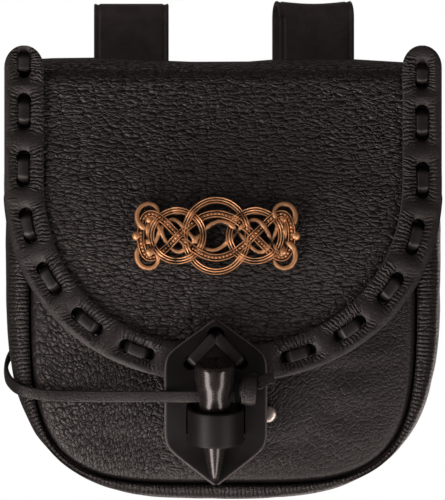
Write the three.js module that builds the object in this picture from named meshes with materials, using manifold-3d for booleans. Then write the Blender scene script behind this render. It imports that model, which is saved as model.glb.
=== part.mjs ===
// A belt pouch of black pebbled leather. A crowned D-shaped front and a U-shaped gusset make the bag.
// One long sheet is both its flat back and its flap. The flap has a laced border, a cast ornament
// and a six-sided plate, which a leather keeper and a horn toggle on a thong hold shut.
// Millimetres. +X to the wearer's left, -Y to the front, +Z up. The origin is in the middle of the
// belt, half way between the two belt loops.
import * as THREE from "three";
import { mergeVertices, mergeGeometries } from "three/addons/utils/BufferGeometryUtils.js";
import Module from "manifold-3d";

const wasm = await Module();
wasm.setup();

// Walls and clearances
const GAP = 0.35; // between pieces that lie on each other
const WALL = 2.0; // pebbled leather of the bag, flap and border
const LACE = { width: 4.2, thickness: 1.3 };
const THONG = { width: 4.3, thickness: 1.4, corner: 0.4 };

// The bag
const BACK_Y = -6; // rear face of the back
const SEAM_Y = -42; // front face of the front panel at its seam
const FULLNESS = 12; // how far the filled front stands out from its seam
const FILL_EDGE = 3.4; // the higher, the flatter the middle and the rounder the edge
const FILL_TOP = { from: 12, to: 75 }; // depths under the belt over which the front fills out
const MOUTH_Z = -12;

// Outlines, seen from the front: straight sides down to the shoulder, then a superellipse.
const SWELL = { halfWidth: 84.2, drop: 90, roundness: 3.05, shoulder: -75, top: -5 };
const SEAM = { halfWidth: 74.6, drop: 84, roundness: 3.9, shoulder: -75, top: -5 };
const PANEL = { ...SEAM, top: MOUTH_Z };
const BACK = { halfWidth: 81.6, drop: 87.6, roundness: 3.2, shoulder: -75, top: -3 };
const FLAP = { halfWidth: 84.4, drop: 79.6, roundness: 2.2, shoulder: -40, top: -6 };
const BORDER_OUTER = { ...FLAP, top: 10.2 };
const BORDER_INNER = { halfWidth: 69.2, drop: 66, roundness: 2.2, shoulder: -40, top: 10.2 };
const LACE_LINE = { halfWidth: 76.8, drop: 72.8, roundness: 2.2, shoulder: -40, top: 10.2 };
const BORDER_END_ROUND = 8.5; // length of the border's rounded ends

// The gusset from its front seam to the back: depth 1 is the seam and 0 the back,
// swell 0 is the seam's outline and 1 the bag's fullest.
const GUSSET_SECTIONS = [
  { depth: 1.0, swell: 0.04 },
  { depth: 1.032, swell: 0.18 },
  { depth: 1.028, swell: 0.5 },
  { depth: 0.96, swell: 0.8 },
  { depth: 0.82, swell: 0.96 },
  { depth: 0.55, swell: 1.0 },
  { depth: 0.25, swell: 0.95 },
  { depth: 0.08, swell: 0.84 },
  { depth: 0.0, swell: 0.68 },
];

// The fold at the top, where the back becomes the flap
const FOLD_TOP = { y: -26, z: 5.8 };
const FLAP_STANDOFF = 3.9; // room between the front panel and the flap, for the lace's hidden runs

// The running stitch: distances along the lace's line from the flap's tip
const STITCH = { left: 33.8, right: 29.3, pitch: 22.1, top: 18.8, count: 7, reach: 4.5 };
const LACE_HOLE_RADIUS = 2.75;

// The closure, centred a little to the left of the middle
const CLOSURE_X = -2.8;
const PLATE = { halfWidth: 19.8, thickness: 3, top: -95.7, bottom: -159.2 };
const PLATE_SLOPES = { top: 1.37, bottom: 1.28 };
const PLATE_BACK = { y: -62.3, settle: 6.4, from: 117, to: 150 };
const PLATE_HOLES = { topZ: -101.6, sideZ: -112.1, sideX: 9.7, topRadius: 3.4, sideRadius: 2.8 };
const KEEPER = { height: 13.6, thickness: 2.2, radius: 9.6, lean: 14, frontY: -67.6 };
const KEEPER_ROOT = { y: -51, z: -132 };
const RIVET_X = { left: -18.6, right: 17.4 };
const TOGGLE = { lean: 20, x: -3.2, y: -68.4, z: -136, above: 25.2 };
const TOGGLE_HOLE = { down: 13.8, radius: 2.65 };

// The toggle's outline: distance down from its flat top, and radius
const TOGGLE_PROFILE = [
  { down: 0, radius: 7.0 },
  { down: 0.7, radius: 7.65 },
  { down: 9.0, radius: 7.45 },
  { down: 11.6, radius: 6.35 },
  { down: 17.0, radius: 6.1 },
  { down: 24.0, radius: 5.6 },
  { down: 30.0, radius: 4.9 },
  { down: 36.0, radius: 4.0 },
  { down: 42.0, radius: 2.9 },
  { down: 46.0, radius: 2.0 },
  { down: 47.6, radius: 1.2 },
];

// The thong's route from inside the gusset to the toggle. face is the way its flat side looks.
const THONG_ROUTE = [
  { x: -72.7, y: -14.5, z: -100.5, face: [-0.7, 0.4, 0.5] },
  { x: -77.3, y: -16.5, z: -104.5, face: [-0.8, 0.4, 0.4] },
  { x: -81.6, y: -19.8, z: -108.3, face: [-0.95, 0.2, 0.25] },
  { x: -83.6, y: -25.8, z: -112.2, face: [-1, 0.0, 0.1] },
  { x: -83.8, y: -32.8, z: -116.0, face: [-0.95, -0.25, -0.05] },
  { x: -82.2, y: -40.0, z: -119.6, face: [-0.8, -0.6, -0.1] },
  { x: -77.8, y: -46.6, z: -122.8, face: [-0.45, -0.9, -0.1] },
  { x: -69.0, y: -49.0, z: -124.6, face: [-0.2, -1, -0.05] },
  { x: -58.0, y: -51.2, z: -125.1, face: [-0.22, -1, 0] },
  { x: -46.0, y: -54.6, z: -125.2, face: [-0.3, -1, 0] },
  { x: -34.0, y: -59.4, z: -125.2, face: [-0.4, -1, 0] },
  { x: -23.0, y: -66.0, z: -125.2, face: [-0.45, -1, 0] },
  { x: -14.0, y: -70.8, z: -125.2, face: [-0.3, -1, 0] },
  { x: -8.0, y: -72.4, z: -125.2, face: [0, -1, 0] },
  { x: -2.8, y: -72.5, z: -125.2, face: [0, -1, 0] },
  { x: 4.6, y: -72.5, z: -125.2, face: [0, -1, 0] },
];
const THONG_STEPS = 52;
const SLIT_STEPS = 17; // the steps at the thong's root that the gusset's slit clears
const STOPPER = { width: 7.6, thickness: 5, steps: 2 };
const KNOT = {
  radii: [4.9, 3.9, 4.6],
  tail: [
    [10.0, -72.3, -124.6],
    [14.5, -71.6, -121.6],
    [20.2, -70.6, -119.2],
  ],
};

// The belt loops
const LOOP = { width: 29, thickness: 2.4, top: 27, room: 6.6, pinch: -24, joined: -31, bottom: -45 };
const LOOPS = [
  { side: "left", x: -35.6, skew: 0 },
  { side: "right", x: 36.4, skew: -2.8 },
];
const LOOP_RIVET = { z: -38.5, spread: 8, skewShare: 0.15, shank: 1.9, head: 4.6, dome: 1.8 };

// The ornament: an interlaced band between two rings, with curled ends
const ORNAMENT = { x: -2.6, z: -63.6, post: 1.4, postX: 25 };
const CHAIN = { halfLength: 29, halfHeight: 8.2, lobes: 3, radius: 1.4 };
const ORNAMENT_RINGS = [
  { u: 0, radiusU: 12.2, radiusV: 13.6, lift: 0.3 },
  { u: -15, radiusU: 10, radiusV: 9.4, lift: 0.1 },
  { u: 15, radiusU: 10, radiusV: 9.4, lift: 0.1 },
];
const RING_STRAND_RADIUS = 1.25;
const SCROLL = { u: 25.6, v: 8.1, size: 5.8, radius: 1.15 };

const LEATHER = { color: 0x2f2a29, roughness: 0.62, metalness: 0 };
const SMOOTH_LEATHER = { color: 0x2b2625, roughness: 0.45, metalness: 0 };
const HORN = { color: 0x15100f, roughness: 0.12, metalness: 0 };
const STEEL = { color: 0xb8b2ac, roughness: 0.25, metalness: 1 };
const COPPER = { color: 0xb87a55, roughness: 0.35, metalness: 1 };

const { lerp, degToRad, smoothstep } = THREE.MathUtils;
const pouch = new THREE.Group();

function addPiece(name, geometry, finish) {
  const mesh = new THREE.Mesh(geometry, new THREE.MeshStandardMaterial(finish));
  mesh.name = name;
  pouch.add(mesh);
}

// ---- Closed solids: thickening, cutting and joining ----

function positionsOnly(geometry) {
  const bare = new THREE.BufferGeometry();
  const flat = geometry.index ? geometry.toNonIndexed() : geometry;
  bare.setAttribute("position", flat.getAttribute("position").clone());
  return mergeVertices(bare, 1e-3);
}

// The triangles of an indexed geometry that have three different corners.
function wholeTriangles(geometry) {
  const index = geometry.index.array;
  const whole = [];
  for (let i = 0; i < index.length; i += 3) {
    const [a, b, c] = [index[i], index[i + 1], index[i + 2]];
    if (a !== b && b !== c && c !== a) whole.push([a, b, c]);
  }
  return whole;
}

// A wall of leather behind an open surface: the surface, its copy set back, and the cut edge between.
function thicken(surface, thickness) {
  const sheet = positionsOnly(surface);
  const triangles = wholeTriangles(sheet);
  sheet.setIndex(triangles.flat());
  sheet.computeVertexNormals();
  const { position, normal } = sheet.attributes;
  const front = [];
  const back = [];
  for (let i = 0; i < position.count; i++) {
    const point = new THREE.Vector3().fromBufferAttribute(position, i);
    const out = new THREE.Vector3().fromBufferAttribute(normal, i);
    front.push(point);
    back.push(point.clone().addScaledVector(out, -thickness));
  }
  const edges = new Set(triangles.flatMap(([a, b, c]) => [`${a}-${b}`, `${b}-${c}`, `${c}-${a}`]));
  const corners = [];
  for (const [a, b, c] of triangles) {
    corners.push(front[a], front[b], front[c], back[a], back[c], back[b]);
  }
  for (const edge of edges) {
    const [a, b] = edge.split("-").map(Number);
    if (edges.has(`${b}-${a}`)) continue;
    corners.push(front[a], back[a], back[b], front[a], back[b], front[b]);
  }
  return new THREE.BufferGeometry().setFromPoints(corners);
}

function solidOf(geometry) {
  const bare = positionsOnly(geometry);
  const triVerts = new Uint32Array(wholeTriangles(bare).flat());
  const vertProperties = bare.attributes.position.array;
  return new wasm.Manifold(new wasm.Mesh({ numProp: 3, vertProperties, triVerts }));
}

const SLIVER = 0.01; // cuts and joins drop corners that are nearer than this to the face beside them

function geometryOf(solid) {
  const mesh = solid.simplify(SLIVER).getMesh();
  const geometry = new THREE.BufferGeometry();
  geometry.setAttribute("position", new THREE.BufferAttribute(mesh.vertProperties, 3));
  geometry.setIndex(new THREE.BufferAttribute(mesh.triVerts, 1));
  return geometry;
}

function cut(geometry, tools) {
  return geometryOf(tools.reduce((rest, tool) => rest.subtract(solidOf(tool)), solidOf(geometry)));
}

// The pieces as one solid, with any bubble that they close off filled.
function join(geometries) {
  const whole = geometries.map(solidOf).reduce((sum, part) => sum.add(part));
  const shells = whole.decompose().sort((a, b) => b.volume() - a.volume());
  return geometryOf(shells[0]);
}

// ---- Surfaces through rows of points ----

// An open surface through rows of points. It faces the side from which each next row lies to the
// left of the way its points run.
function surface(rows) {
  const corners = [];
  for (let r = 0; r + 1 < rows.length; r++) {
    for (let i = 0; i + 1 < rows[r].length; i++) {
      const [a, b] = [rows[r][i], rows[r][i + 1]];
      const [d, c] = [rows[r + 1][i], rows[r + 1][i + 1]];
      corners.push(a, b, c, a, c, d);
    }
  }
  return new THREE.BufferGeometry().setFromPoints(corners);
}

const ARC_SHARE = 0.6; // the part of each half outline that is its superellipse

// A point of an outline. turn runs from -1, the top of the left side, through 0, the lowest point,
// to 1, the top of the right side.
function outlinePoint(outline, turn) {
  const side = Math.sign(turn);
  const part = Math.abs(turn);
  if (part > ARC_SHARE) {
    const rise = (part - ARC_SHARE) / (1 - ARC_SHARE);
    return { x: side * outline.halfWidth, z: lerp(outline.shoulder, outline.top, rise) };
  }
  const angle = ((part / ARC_SHARE) * Math.PI) / 2;
  const power = 2 / outline.roundness;
  return {
    x: side * outline.halfWidth * Math.sin(angle) ** power,
    z: outline.shoulder - outline.drop * Math.max(0, Math.cos(angle)) ** power,
  };
}

function turnsOf(arcSteps, sideSteps) {
  const right = [];
  for (let i = 1; i <= arcSteps; i++) right.push((ARC_SHARE * i) / arcSteps);
  for (let i = 1; i <= sideSteps; i++) right.push(ARC_SHARE + ((1 - ARC_SHARE) * i) / sideSteps);
  return [...right.map((turn) => -turn).reverse(), 0, ...right];
}

function between(low, high, part) {
  const mix = (key) => lerp(low[key], high[key], part);
  return {
    halfWidth: mix("halfWidth"),
    drop: mix("drop"),
    roundness: mix("roundness"),
    shoulder: mix("shoulder"),
    top: mix("top"),
  };
}

const shrunk = (outline, part) => ({
  ...outline,
  halfWidth: outline.halfWidth * part,
  drop: outline.drop * part,
});

// ---- The shape of the filled front ----

// How far the filled bag stands out from the plane of its front seam.
function swellAt(x, z) {
  const across = Math.abs(x) / SWELL.halfWidth;
  const below = Math.max(0, SWELL.shoulder - z) / SWELL.drop;
  const reach = (across ** SWELL.roundness + below ** SWELL.roundness) ** (1 / SWELL.roundness);
  const filled = smoothstep(-z, FILL_TOP.from, FILL_TOP.to);
  return FULLNESS * Math.max(0, 1 - reach ** FILL_EDGE) * filled;
}

const panelFace = (x, z) => SEAM_Y - swellAt(x, z);
const flapFace = (x, z) => panelFace(x, z) - FLAP_STANDOFF - WALL;

// The way that a face looks, and a point that lies a height above it.
function outward(face, x, z) {
  const step = 0.1;
  const slopeX = (face(x + step, z) - face(x - step, z)) / (2 * step);
  const slopeZ = (face(x, z + step) - face(x, z - step)) / (2 * step);
  return new THREE.Vector3(slopeX, -1, slopeZ).normalize();
}

function above(face, x, z, height) {
  return new THREE.Vector3(x, face(x, z), z).addScaledVector(outward(face, x, z), height);
}

// The flap's outer face again, but bending back over the fold above the flap's top edge.
function foldedFace(x, z) {
  const front = flapFace(x, FLAP.top);
  if (z <= FLAP.top) return flapFace(x, z);
  const rise = Math.min(1, (z - FLAP.top) / (FOLD_TOP.z - FLAP.top));
  return lerp(FOLD_TOP.y, front, Math.sqrt(1 - rise * rise));
}

// ---- Flat straps and laces ----

// The path of a strap: its points, and the direction of its width at each of them.
class StrapPath extends THREE.Curve {
  constructor(points, widths) {
    super();
    this.points = points;
    this.widths = widths;
  }

  getSpacedPoints() {
    return this.points;
  }

  computeFrenetFrames() {
    const last = this.points.length - 1;
    const tangents = this.points.map((point, i) => {
      const before = this.points[Math.max(0, i - 1)];
      const after = this.points[Math.min(last, i + 1)];
      const into = point.clone().sub(before).normalize();
      return after.clone().sub(point).normalize().add(into).normalize();
    });
    const binormals = this.widths;
    const normals = binormals.map((binormal, i) => binormal.clone().cross(tangents[i]).normalize());
    return { tangents, normals, binormals };
  }
}

// A strap of a flat section along its path, with the corners of the section cut off where it is a cord.
function strap(points, widths, { width, thickness, corner = 0 }) {
  const [w, t] = [width / 2, thickness / 2];
  const outline = [
    [-t, -w + corner],
    [-t + corner, -w],
    [t - corner, -w],
    [t, -w + corner],
    [t, w - corner],
    [t - corner, w],
    [-t + corner, w],
    [-t, w - corner],
  ];
  const kept = corner > 0 ? outline : outline.filter((point, i) => i % 2 === 0);
  const section = new THREE.Shape(kept.map(([along, across]) => new THREE.Vector2(along, across)));
  const path = new StrapPath(points, widths);
  return new THREE.ExtrudeGeometry(section, { steps: points.length - 1, extrudePath: path });
}

const fatter = ({ width, thickness }) => ({ width: width + 2 * GAP, thickness: thickness + 2 * GAP });

const HOLE_SIDES = 8;

function holeThrough(x, z, radius, [fromY, toY]) {
  const hole = new THREE.CylinderGeometry(radius, radius, Math.abs(toY - fromY), HOLE_SIDES);
  return hole.translate(x, (fromY + toY) / 2, z);
}

const UP = new THREE.Vector3(0, 1, 0);

// A piece made round the upward axis, turned to look along a direction and moved to its place.
function aimed(geometry, direction, place) {
  const turned = geometry.applyQuaternion(new THREE.Quaternion().setFromUnitVectors(UP, direction));
  return turned.translate(place.x, place.y, place.z);
}

// ---- The bag ----

const RING_PARTS = [0, 0.4, 0.68, 0.87, 1];

function ringRows(outline, turns, place) {
  return RING_PARTS.map((part) =>
    turns.map((turn) => {
      const { x, z } = outlinePoint(shrunk(outline, part), turn);
      return new THREE.Vector3(x, place(x, z), z);
    }),
  );
}

function frontPanel() {
  const rows = ringRows(PANEL, turnsOf(12, 5), panelFace);
  return thicken(surface(rows.reverse()), WALL);
}

function gusset() {
  const turns = turnsOf(13, 4);
  const inside = BACK_Y - WALL - GAP;
  const rows = GUSSET_SECTIONS.map(({ depth, swell }) =>
    turns.map((turn) => {
      const { x, z } = outlinePoint(between(SEAM, SWELL, swell), turn);
      const seam = outlinePoint(SEAM, turn);
      return new THREE.Vector3(x, lerp(inside, panelFace(seam.x, seam.z), depth), z);
    }),
  );
  return thicken(surface(rows.reverse()), WALL);
}

// The fold: rows from the flap's top edge, over the top, to the back's top edge.
function foldRows(steps) {
  const parts = [...RING_PARTS.slice(1).map((part) => -part).reverse(), ...RING_PARTS];
  const rows = [];
  for (let step = 0; step <= 2 * steps; step++) {
    const angle = (step / steps) * (Math.PI / 2);
    const toBack = step > steps;
    const halfWidth = lerp(FLAP.halfWidth, BACK.halfWidth, step / (2 * steps));
    rows.push(
      parts.map((part) => {
        const x = part * halfWidth;
        const end = toBack ? { y: BACK_Y, z: BACK.top } : { y: flapFace(x, FLAP.top), z: FLAP.top };
        const out = Math.abs(Math.cos(angle));
        const up = Math.sin(angle);
        return new THREE.Vector3(x, lerp(FOLD_TOP.y, end.y, out), lerp(end.z, FOLD_TOP.z, up));
      }),
    );
  }
  return rows;
}

function backAndFlap() {
  const back = surface(ringRows(BACK, turnsOf(9, 1), () => BACK_Y));
  const flap = surface(ringRows(FLAP, turnsOf(12, 2), flapFace).reverse());
  const fold = surface(foldRows(5));
  return thicken(mergeGeometries([back, flap, fold].map((patch) => patch.deleteAttribute("uv"))), WALL);
}

// ---- The border and its lace ----

function borderTurns() {
  const ends = [0.9, 0.935, 0.965, 0.985, 1];
  const turns = turnsOf(15, 4).filter((turn) => Math.abs(turn) < ends[0] - 0.01);
  return [...ends.map((turn) => -turn).reverse(), ...turns, ...ends];
}

function borderStrip() {
  const middle = between(BORDER_INNER, BORDER_OUTER, 0.5);
  const rows = [1, 0.5, 0].map((part) =>
    borderTurns().map((turn) => {
      const edge = outlinePoint(between(BORDER_INNER, BORDER_OUTER, part), turn);
      const centre = outlinePoint(middle, turn);
      const past = Math.max(0, edge.z - (BORDER_OUTER.top - BORDER_END_ROUND)) / (BORDER_END_ROUND * 1.01);
      const x = lerp(centre.x, edge.x, Math.sqrt(1 - past * past));
      return above(flapFace, x, edge.z, GAP + WALL);
    }),
  );
  return thicken(surface(rows), WALL);
}

// The lace's line on one side, as a lookup from the distance from the flap's tip.
function laceLine(side) {
  const steps = 400;
  const points = [];
  for (let i = 0; i <= steps; i++) {
    const { x, z } = outlinePoint(LACE_LINE, (side * i) / steps);
    points.push(new THREE.Vector3(x, 0, z));
  }
  const length = [0];
  for (let i = 1; i <= steps; i++) length.push(length[i - 1] + points[i].distanceTo(points[i - 1]));
  return (distance) => {
    const i = Math.max(1, length.findIndex((reached) => reached >= distance));
    const part = (distance - length[i - 1]) / (length[i] - length[i - 1]);
    return points[i - 1].clone().lerp(points[i], part);
  };
}

function stitchesOf(side) {
  const first = side < 0 ? STITCH.left : STITCH.right;
  const stitches = [];
  for (let i = 0; i < STITCH.count; i++) {
    const last = i === STITCH.count - 1;
    stitches.push(first + i * STITCH.pitch - (last ? STITCH.pitch - STITCH.top : 0));
  }
  return stitches;
}

// The lace's middle over the border, behind the flap, and tucked behind the border's free end.
const HALF_LACE = LACE.thickness / 2;
const TUCKED_ABOVE = 1.5;
const overBorder = (x, z) => above(flapFace, x, z, GAP + WALL + GAP + HALF_LACE);
const BEND_SLACK = 0.5; // more room for the lace where the flap starts to bend over the fold

// The lace goes in square to the border, also where the flap behind it already leans back.
function underFlap(x, z) {
  const inward = outward(flapFace, x, z).negate();
  const lean = -inward.dot(outward(foldedFace, x, z));
  const depth = (WALL + GAP + HALF_LACE) / lean + (z > FLAP.top ? BEND_SLACK : 0);
  return new THREE.Vector3(x, foldedFace(x, z), z).addScaledVector(inward, depth);
}
const hiddenRun = (x, z) => (z > TUCKED_ABOVE ? above(flapFace, x, z, -HALF_LACE) : underFlap(x, z));

// One side's lace. Each stitch comes up through its lower hole and goes down through its upper one.
function borderLace(side) {
  const at = laceLine(side);
  const points = [];
  const widths = [];
  function put(distance, over) {
    const { x, z } = at(distance);
    const ahead = at(distance + 1).sub(at(distance - 1)).normalize();
    points.push(hiddenRun(x, z).lerp(overBorder(x, z), over));
    widths.push(ahead.cross(outward(flapFace, x, z)).normalize());
  }
  for (const middle of stitchesOf(side)) {
    const [lower, upper] = [middle - STITCH.reach, middle + STITCH.reach];
    put(lower - 3, 0);
    put(lower - 1.2, 0);
    put(lower - 0.5, 0.16);
    put(lower, 0.5);
    put(lower + 0.5, 0.84);
    put(lower + 1.2, 1);
    put(middle, 1);
    put(upper - 1.2, 1);
    put(upper - 0.5, 0.84);
    put(upper, 0.5);
    put(upper + 0.5, 0.16);
    put(upper + 1.2, 0);
  }
  return strap(points, widths, LACE);
}

function stitchHoles(side) {
  const at = laceLine(side);
  return stitchesOf(side).flatMap((middle) =>
    [middle - STITCH.reach, middle + STITCH.reach].map((distance) => {
      const { x, z } = at(distance);
      const hole = new THREE.CylinderGeometry(LACE_HOLE_RADIUS, LACE_HOLE_RADIUS, 14, HOLE_SIDES);
      return aimed(hole, outward(flapFace, x, z), above(flapFace, x, z, 0));
    }),
  );
}

// ---- The closure ----

const plateBack = (z) => PLATE_BACK.y + PLATE_BACK.settle * smoothstep(-z, PLATE_BACK.from, PLATE_BACK.to);
const plateFace = (z) => plateBack(z) - PLATE.thickness;

function plateHalfWidth(z) {
  const tip = 1.2;
  const fromTop = tip + (PLATE.top - z) * PLATE_SLOPES.top;
  const fromBottom = tip + (z - PLATE.bottom) * PLATE_SLOPES.bottom;
  const pointed = Math.min(fromTop, fromBottom);
  const sharpness = 10;
  return (pointed ** -sharpness + PLATE.halfWidth ** -sharpness) ** (-1 / sharpness);
}

function plateRows() {
  const steps = 16;
  const columns = 4;
  const rows = [];
  for (let r = 0; r <= steps; r++) {
    const z = lerp(PLATE.bottom, PLATE.top, r / steps);
    const row = [];
    for (let c = 0; c <= columns; c++) {
      const x = CLOSURE_X + ((2 * c) / columns - 1) * plateHalfWidth(z);
      row.push(new THREE.Vector3(x, plateFace(z), z));
    }
    rows.push(row);
  }
  return rows;
}

const plateHolePlaces = [
  { x: CLOSURE_X, z: PLATE_HOLES.topZ, radius: PLATE_HOLES.topRadius },
  { x: CLOSURE_X - PLATE_HOLES.sideX, z: PLATE_HOLES.sideZ, radius: PLATE_HOLES.sideRadius },
  { x: CLOSURE_X + PLATE_HOLES.sideX, z: PLATE_HOLES.sideZ, radius: PLATE_HOLES.sideRadius },
];
const plateLaceHoles = plateHolePlaces.map(({ x, z, radius }) => holeThrough(x, z, radius, [-75, -50]));

// One leg of the plate's lace, from behind the flap at its side hole to behind it at the top hole.
function plateLaceLeg(side) {
  const top = new THREE.Vector3(CLOSURE_X, 0, PLATE_HOLES.topZ);
  const foot = new THREE.Vector3(CLOSURE_X + side * PLATE_HOLES.sideX, 0, PLATE_HOLES.sideZ);
  const along = top.clone().sub(foot).normalize();
  const reach = top.distanceTo(foot);
  const points = [];
  const widths = [];
  function put(distance, over) {
    const place = foot.clone().addScaledVector(along, distance);
    const front = plateFace(place.z) - GAP - HALF_LACE;
    points.push(place.setY(lerp(underFlap(place.x, place.z).y, front, over)));
    widths.push(new THREE.Vector3(-along.z, 0, along.x));
  }
  put(-3.4, 0);
  put(-1.2, 0);
  put(-0.4, 0.12);
  put(0, 0.5);
  put(0.4, 0.9);
  put(1.4, 1);
  put(reach / 2, 1.04);
  put(reach - 2.2, 1);
  put(reach - 0.9, 0.9);
  put(reach - 0.3, 0.5);
  put(reach, 0.12);
  put(reach + 0.6, 0);
  return strap(points, widths, LACE);
}

// The keeper's path in its own leaning plane: out from one end inside the front panel, round and back.
function keeperPath() {
  const lean = degToRad(KEEPER.lean);
  const outward = new THREE.Vector3(0, -Math.cos(lean), -Math.sin(lean));
  const width = new THREE.Vector3(0, -Math.sin(lean), Math.cos(lean));
  const root = new THREE.Vector3(CLOSURE_X, KEEPER_ROOT.y, KEEPER_ROOT.z);
  const straight = (KEEPER_ROOT.y - KEEPER.frontY) / Math.cos(lean);
  const inside = -(WALL + GAP + KEEPER.thickness / 2 + 0.5);
  const flat = [
    { x: RIVET_X.left - CLOSURE_X - 5, out: inside },
    { x: -KEEPER.radius - 3, out: inside },
    { x: -KEEPER.radius - 0.7, out: inside + 0.7 },
    { x: -KEEPER.radius, out: inside + 3 },
    { x: -KEEPER.radius, out: straight },
  ];
  for (let i = 1; i < 12; i++) {
    const angle = (i / 12) * Math.PI;
    flat.push({ x: -KEEPER.radius * Math.cos(angle), out: straight + KEEPER.radius * Math.sin(angle) });
  }
  flat.push(
    { x: KEEPER.radius, out: straight },
    { x: KEEPER.radius, out: inside + 3 },
    { x: KEEPER.radius + 0.7, out: inside + 0.7 },
    { x: KEEPER.radius + 3, out: inside },
    { x: RIVET_X.right - CLOSURE_X + 5, out: inside },
  );
  const points = flat.map(({ x, out }) => root.clone().addScaledVector(outward, out).setX(CLOSURE_X + x));
  return { points, widths: points.map(() => width), outward };
}

const keeper = keeperPath();
const keeperSize = { width: KEEPER.height, thickness: KEEPER.thickness };
const keeperRoom = strap(keeper.points, keeper.widths, fatter(keeperSize));

// A rivet along its own axis: domed head, shank and flat washer, closed on the axis.
function rivet({ shank, head, dome, grip, washer }) {
  const profile = [
    [0, dome],
    [head * 0.55, dome * 0.82],
    [head * 0.9, dome * 0.4],
    [head, 0],
    [shank, 0],
    [shank, -grip],
    [washer, -grip],
    [washer, -grip - 1],
    [0, -grip - 1],
  ];
  const points = profile.map(([radius, height]) => new THREE.Vector2(radius, height)).reverse();
  return new THREE.LatheGeometry(points, 12);
}

const KEEPER_RIVET = { shank: 1.5, head: 3.5, dome: 1.5, washer: 3.0 };
const keeperRivets = Object.entries(RIVET_X).map(([side, x]) => {
  const inside = WALL + KEEPER.thickness + 2 * GAP + 0.9;
  const place = new THREE.Vector3(x, panelFace(x, KEEPER_ROOT.z) - GAP - 0.3, KEEPER_ROOT.z);
  const solid = aimed(rivet({ ...KEEPER_RIVET, grip: inside + GAP }), keeper.outward, place);
  const shaft = new THREE.CylinderGeometry(KEEPER_RIVET.shank + GAP, KEEPER_RIVET.shank + GAP, 30, 12);
  return { side, solid, room: aimed(shaft, keeper.outward, place) };
});
const keeperRivetRooms = keeperRivets.map(({ room }) => room);

// The toggle's leaning axis: from a distance down its length to a point.
const toggleLean = degToRad(TOGGLE.lean);
const toggleUp = new THREE.Vector3(0, -Math.sin(toggleLean), Math.cos(toggleLean));
const toggleTop = new THREE.Vector3(TOGGLE.x, TOGGLE.y, TOGGLE.z).addScaledVector(toggleUp, TOGGLE.above);

function toggle() {
  const tip = TOGGLE_PROFILE.at(-1);
  const outline = [
    new THREE.Vector2(0, 0),
    ...TOGGLE_PROFILE.map(({ down, radius }) => new THREE.Vector2(radius, -down)),
    new THREE.Vector2(0, -tip.down - tip.radius * 0.5),
  ];
  const peg = aimed(new THREE.LatheGeometry(outline.reverse(), 18), toggleUp, toggleTop);
  const bore = new THREE.CylinderGeometry(TOGGLE_HOLE.radius, TOGGLE_HOLE.radius, 30, 10);
  const centre = toggleTop.clone().addScaledVector(toggleUp, -TOGGLE_HOLE.down);
  bore.rotateZ(Math.PI / 2).translate(centre.x, centre.y, centre.z);
  return cut(peg, [bore]);
}

// ---- The thong ----

function thongCourse() {
  const route = new THREE.CatmullRomCurve3(THONG_ROUTE.map(({ x, y, z }) => new THREE.Vector3(x, y, z)));
  const faces = new THREE.CatmullRomCurve3(THONG_ROUTE.map(({ face }) => new THREE.Vector3(...face)));
  const points = [];
  const widths = [];
  for (let i = 0; i <= THONG_STEPS; i++) {
    const part = route.getUtoTmapping(i / THONG_STEPS);
    points.push(route.getPoint(part));
    widths.push(route.getTangent(part).cross(faces.getPoint(part)).normalize());
  }
  return { points, widths };
}

const thong = thongCourse();

// The clearance that the thong's root has where it slants through the gusset.
function thongSlit() {
  return strap(thong.points.slice(0, SLIT_STEPS), thong.widths.slice(0, SLIT_STEPS), fatter(THONG));
}

// The knot that keeps the root from pulling out: a short thick ring on the thong inside the bag.
function thongStopper() {
  const count = STOPPER.steps + 1;
  const bead = strap(thong.points.slice(0, count), thong.widths.slice(0, count), STOPPER);
  const before = thong.points[0].clone().multiplyScalar(2).sub(thong.points[1]);
  const points = [before, ...thong.points.slice(0, count + 1)];
  return cut(bead, [strap(points, thong.widths.slice(0, points.length), fatter(THONG))]);
}

// The knot against the toggle's right side, with the thong's cut end.
function thongKnot() {
  const lump = new THREE.SphereGeometry(1, 14, 10).scale(...KNOT.radii).translate(...KNOT.tail[0]);
  const tail = KNOT.tail.map((place) => new THREE.Vector3(...place));
  const across = tail.map(() => new THREE.Vector3(-0.35, 0, 1));
  return join([lump, strap(tail, across, THONG)]);
}

// ---- The belt loops ----

const loopSeat = BACK_Y + GAP + LOOP.thickness / 2; // middle of the front leg
const loopRear = loopSeat + LOOP.room + LOOP.thickness;

function loopPath({ x, skew }) {
  const bend = (loopRear - loopSeat) / 2;
  const centre = { y: (loopRear + loopSeat) / 2, z: LOOP.top - LOOP.thickness / 2 - bend };
  const joinedY = loopSeat + LOOP.thickness + GAP;
  const places = [
    { y: loopSeat, z: LOOP.bottom },
    { y: loopSeat, z: LOOP.joined },
  ];
  for (let i = 0; i <= 8; i++) {
    const angle = (i / 8) * Math.PI;
    places.push({ y: centre.y - bend * Math.cos(angle), z: centre.z + bend * Math.sin(angle) });
  }
  places.push(
    { y: loopRear, z: LOOP.pinch },
    { y: lerp(loopRear, joinedY, 0.25), z: lerp(LOOP.pinch, LOOP.joined, 0.4) },
    { y: lerp(loopRear, joinedY, 0.75), z: lerp(LOOP.pinch, LOOP.joined, 0.75) },
    { y: joinedY, z: LOOP.joined - 1 },
    { y: joinedY, z: LOOP.bottom },
  );
  return places.map(({ y, z }) => {
    const lean = (skew * (y - loopSeat)) / (loopRear - loopSeat);
    return new THREE.Vector3(x + lean, y, z);
  });
}

function beltLoop(loop) {
  const points = loopPath(loop);
  const across = points.map(() => new THREE.Vector3(1, 0, 0));
  return strap(points, across, { width: LOOP.width, thickness: LOOP.thickness });
}

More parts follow.
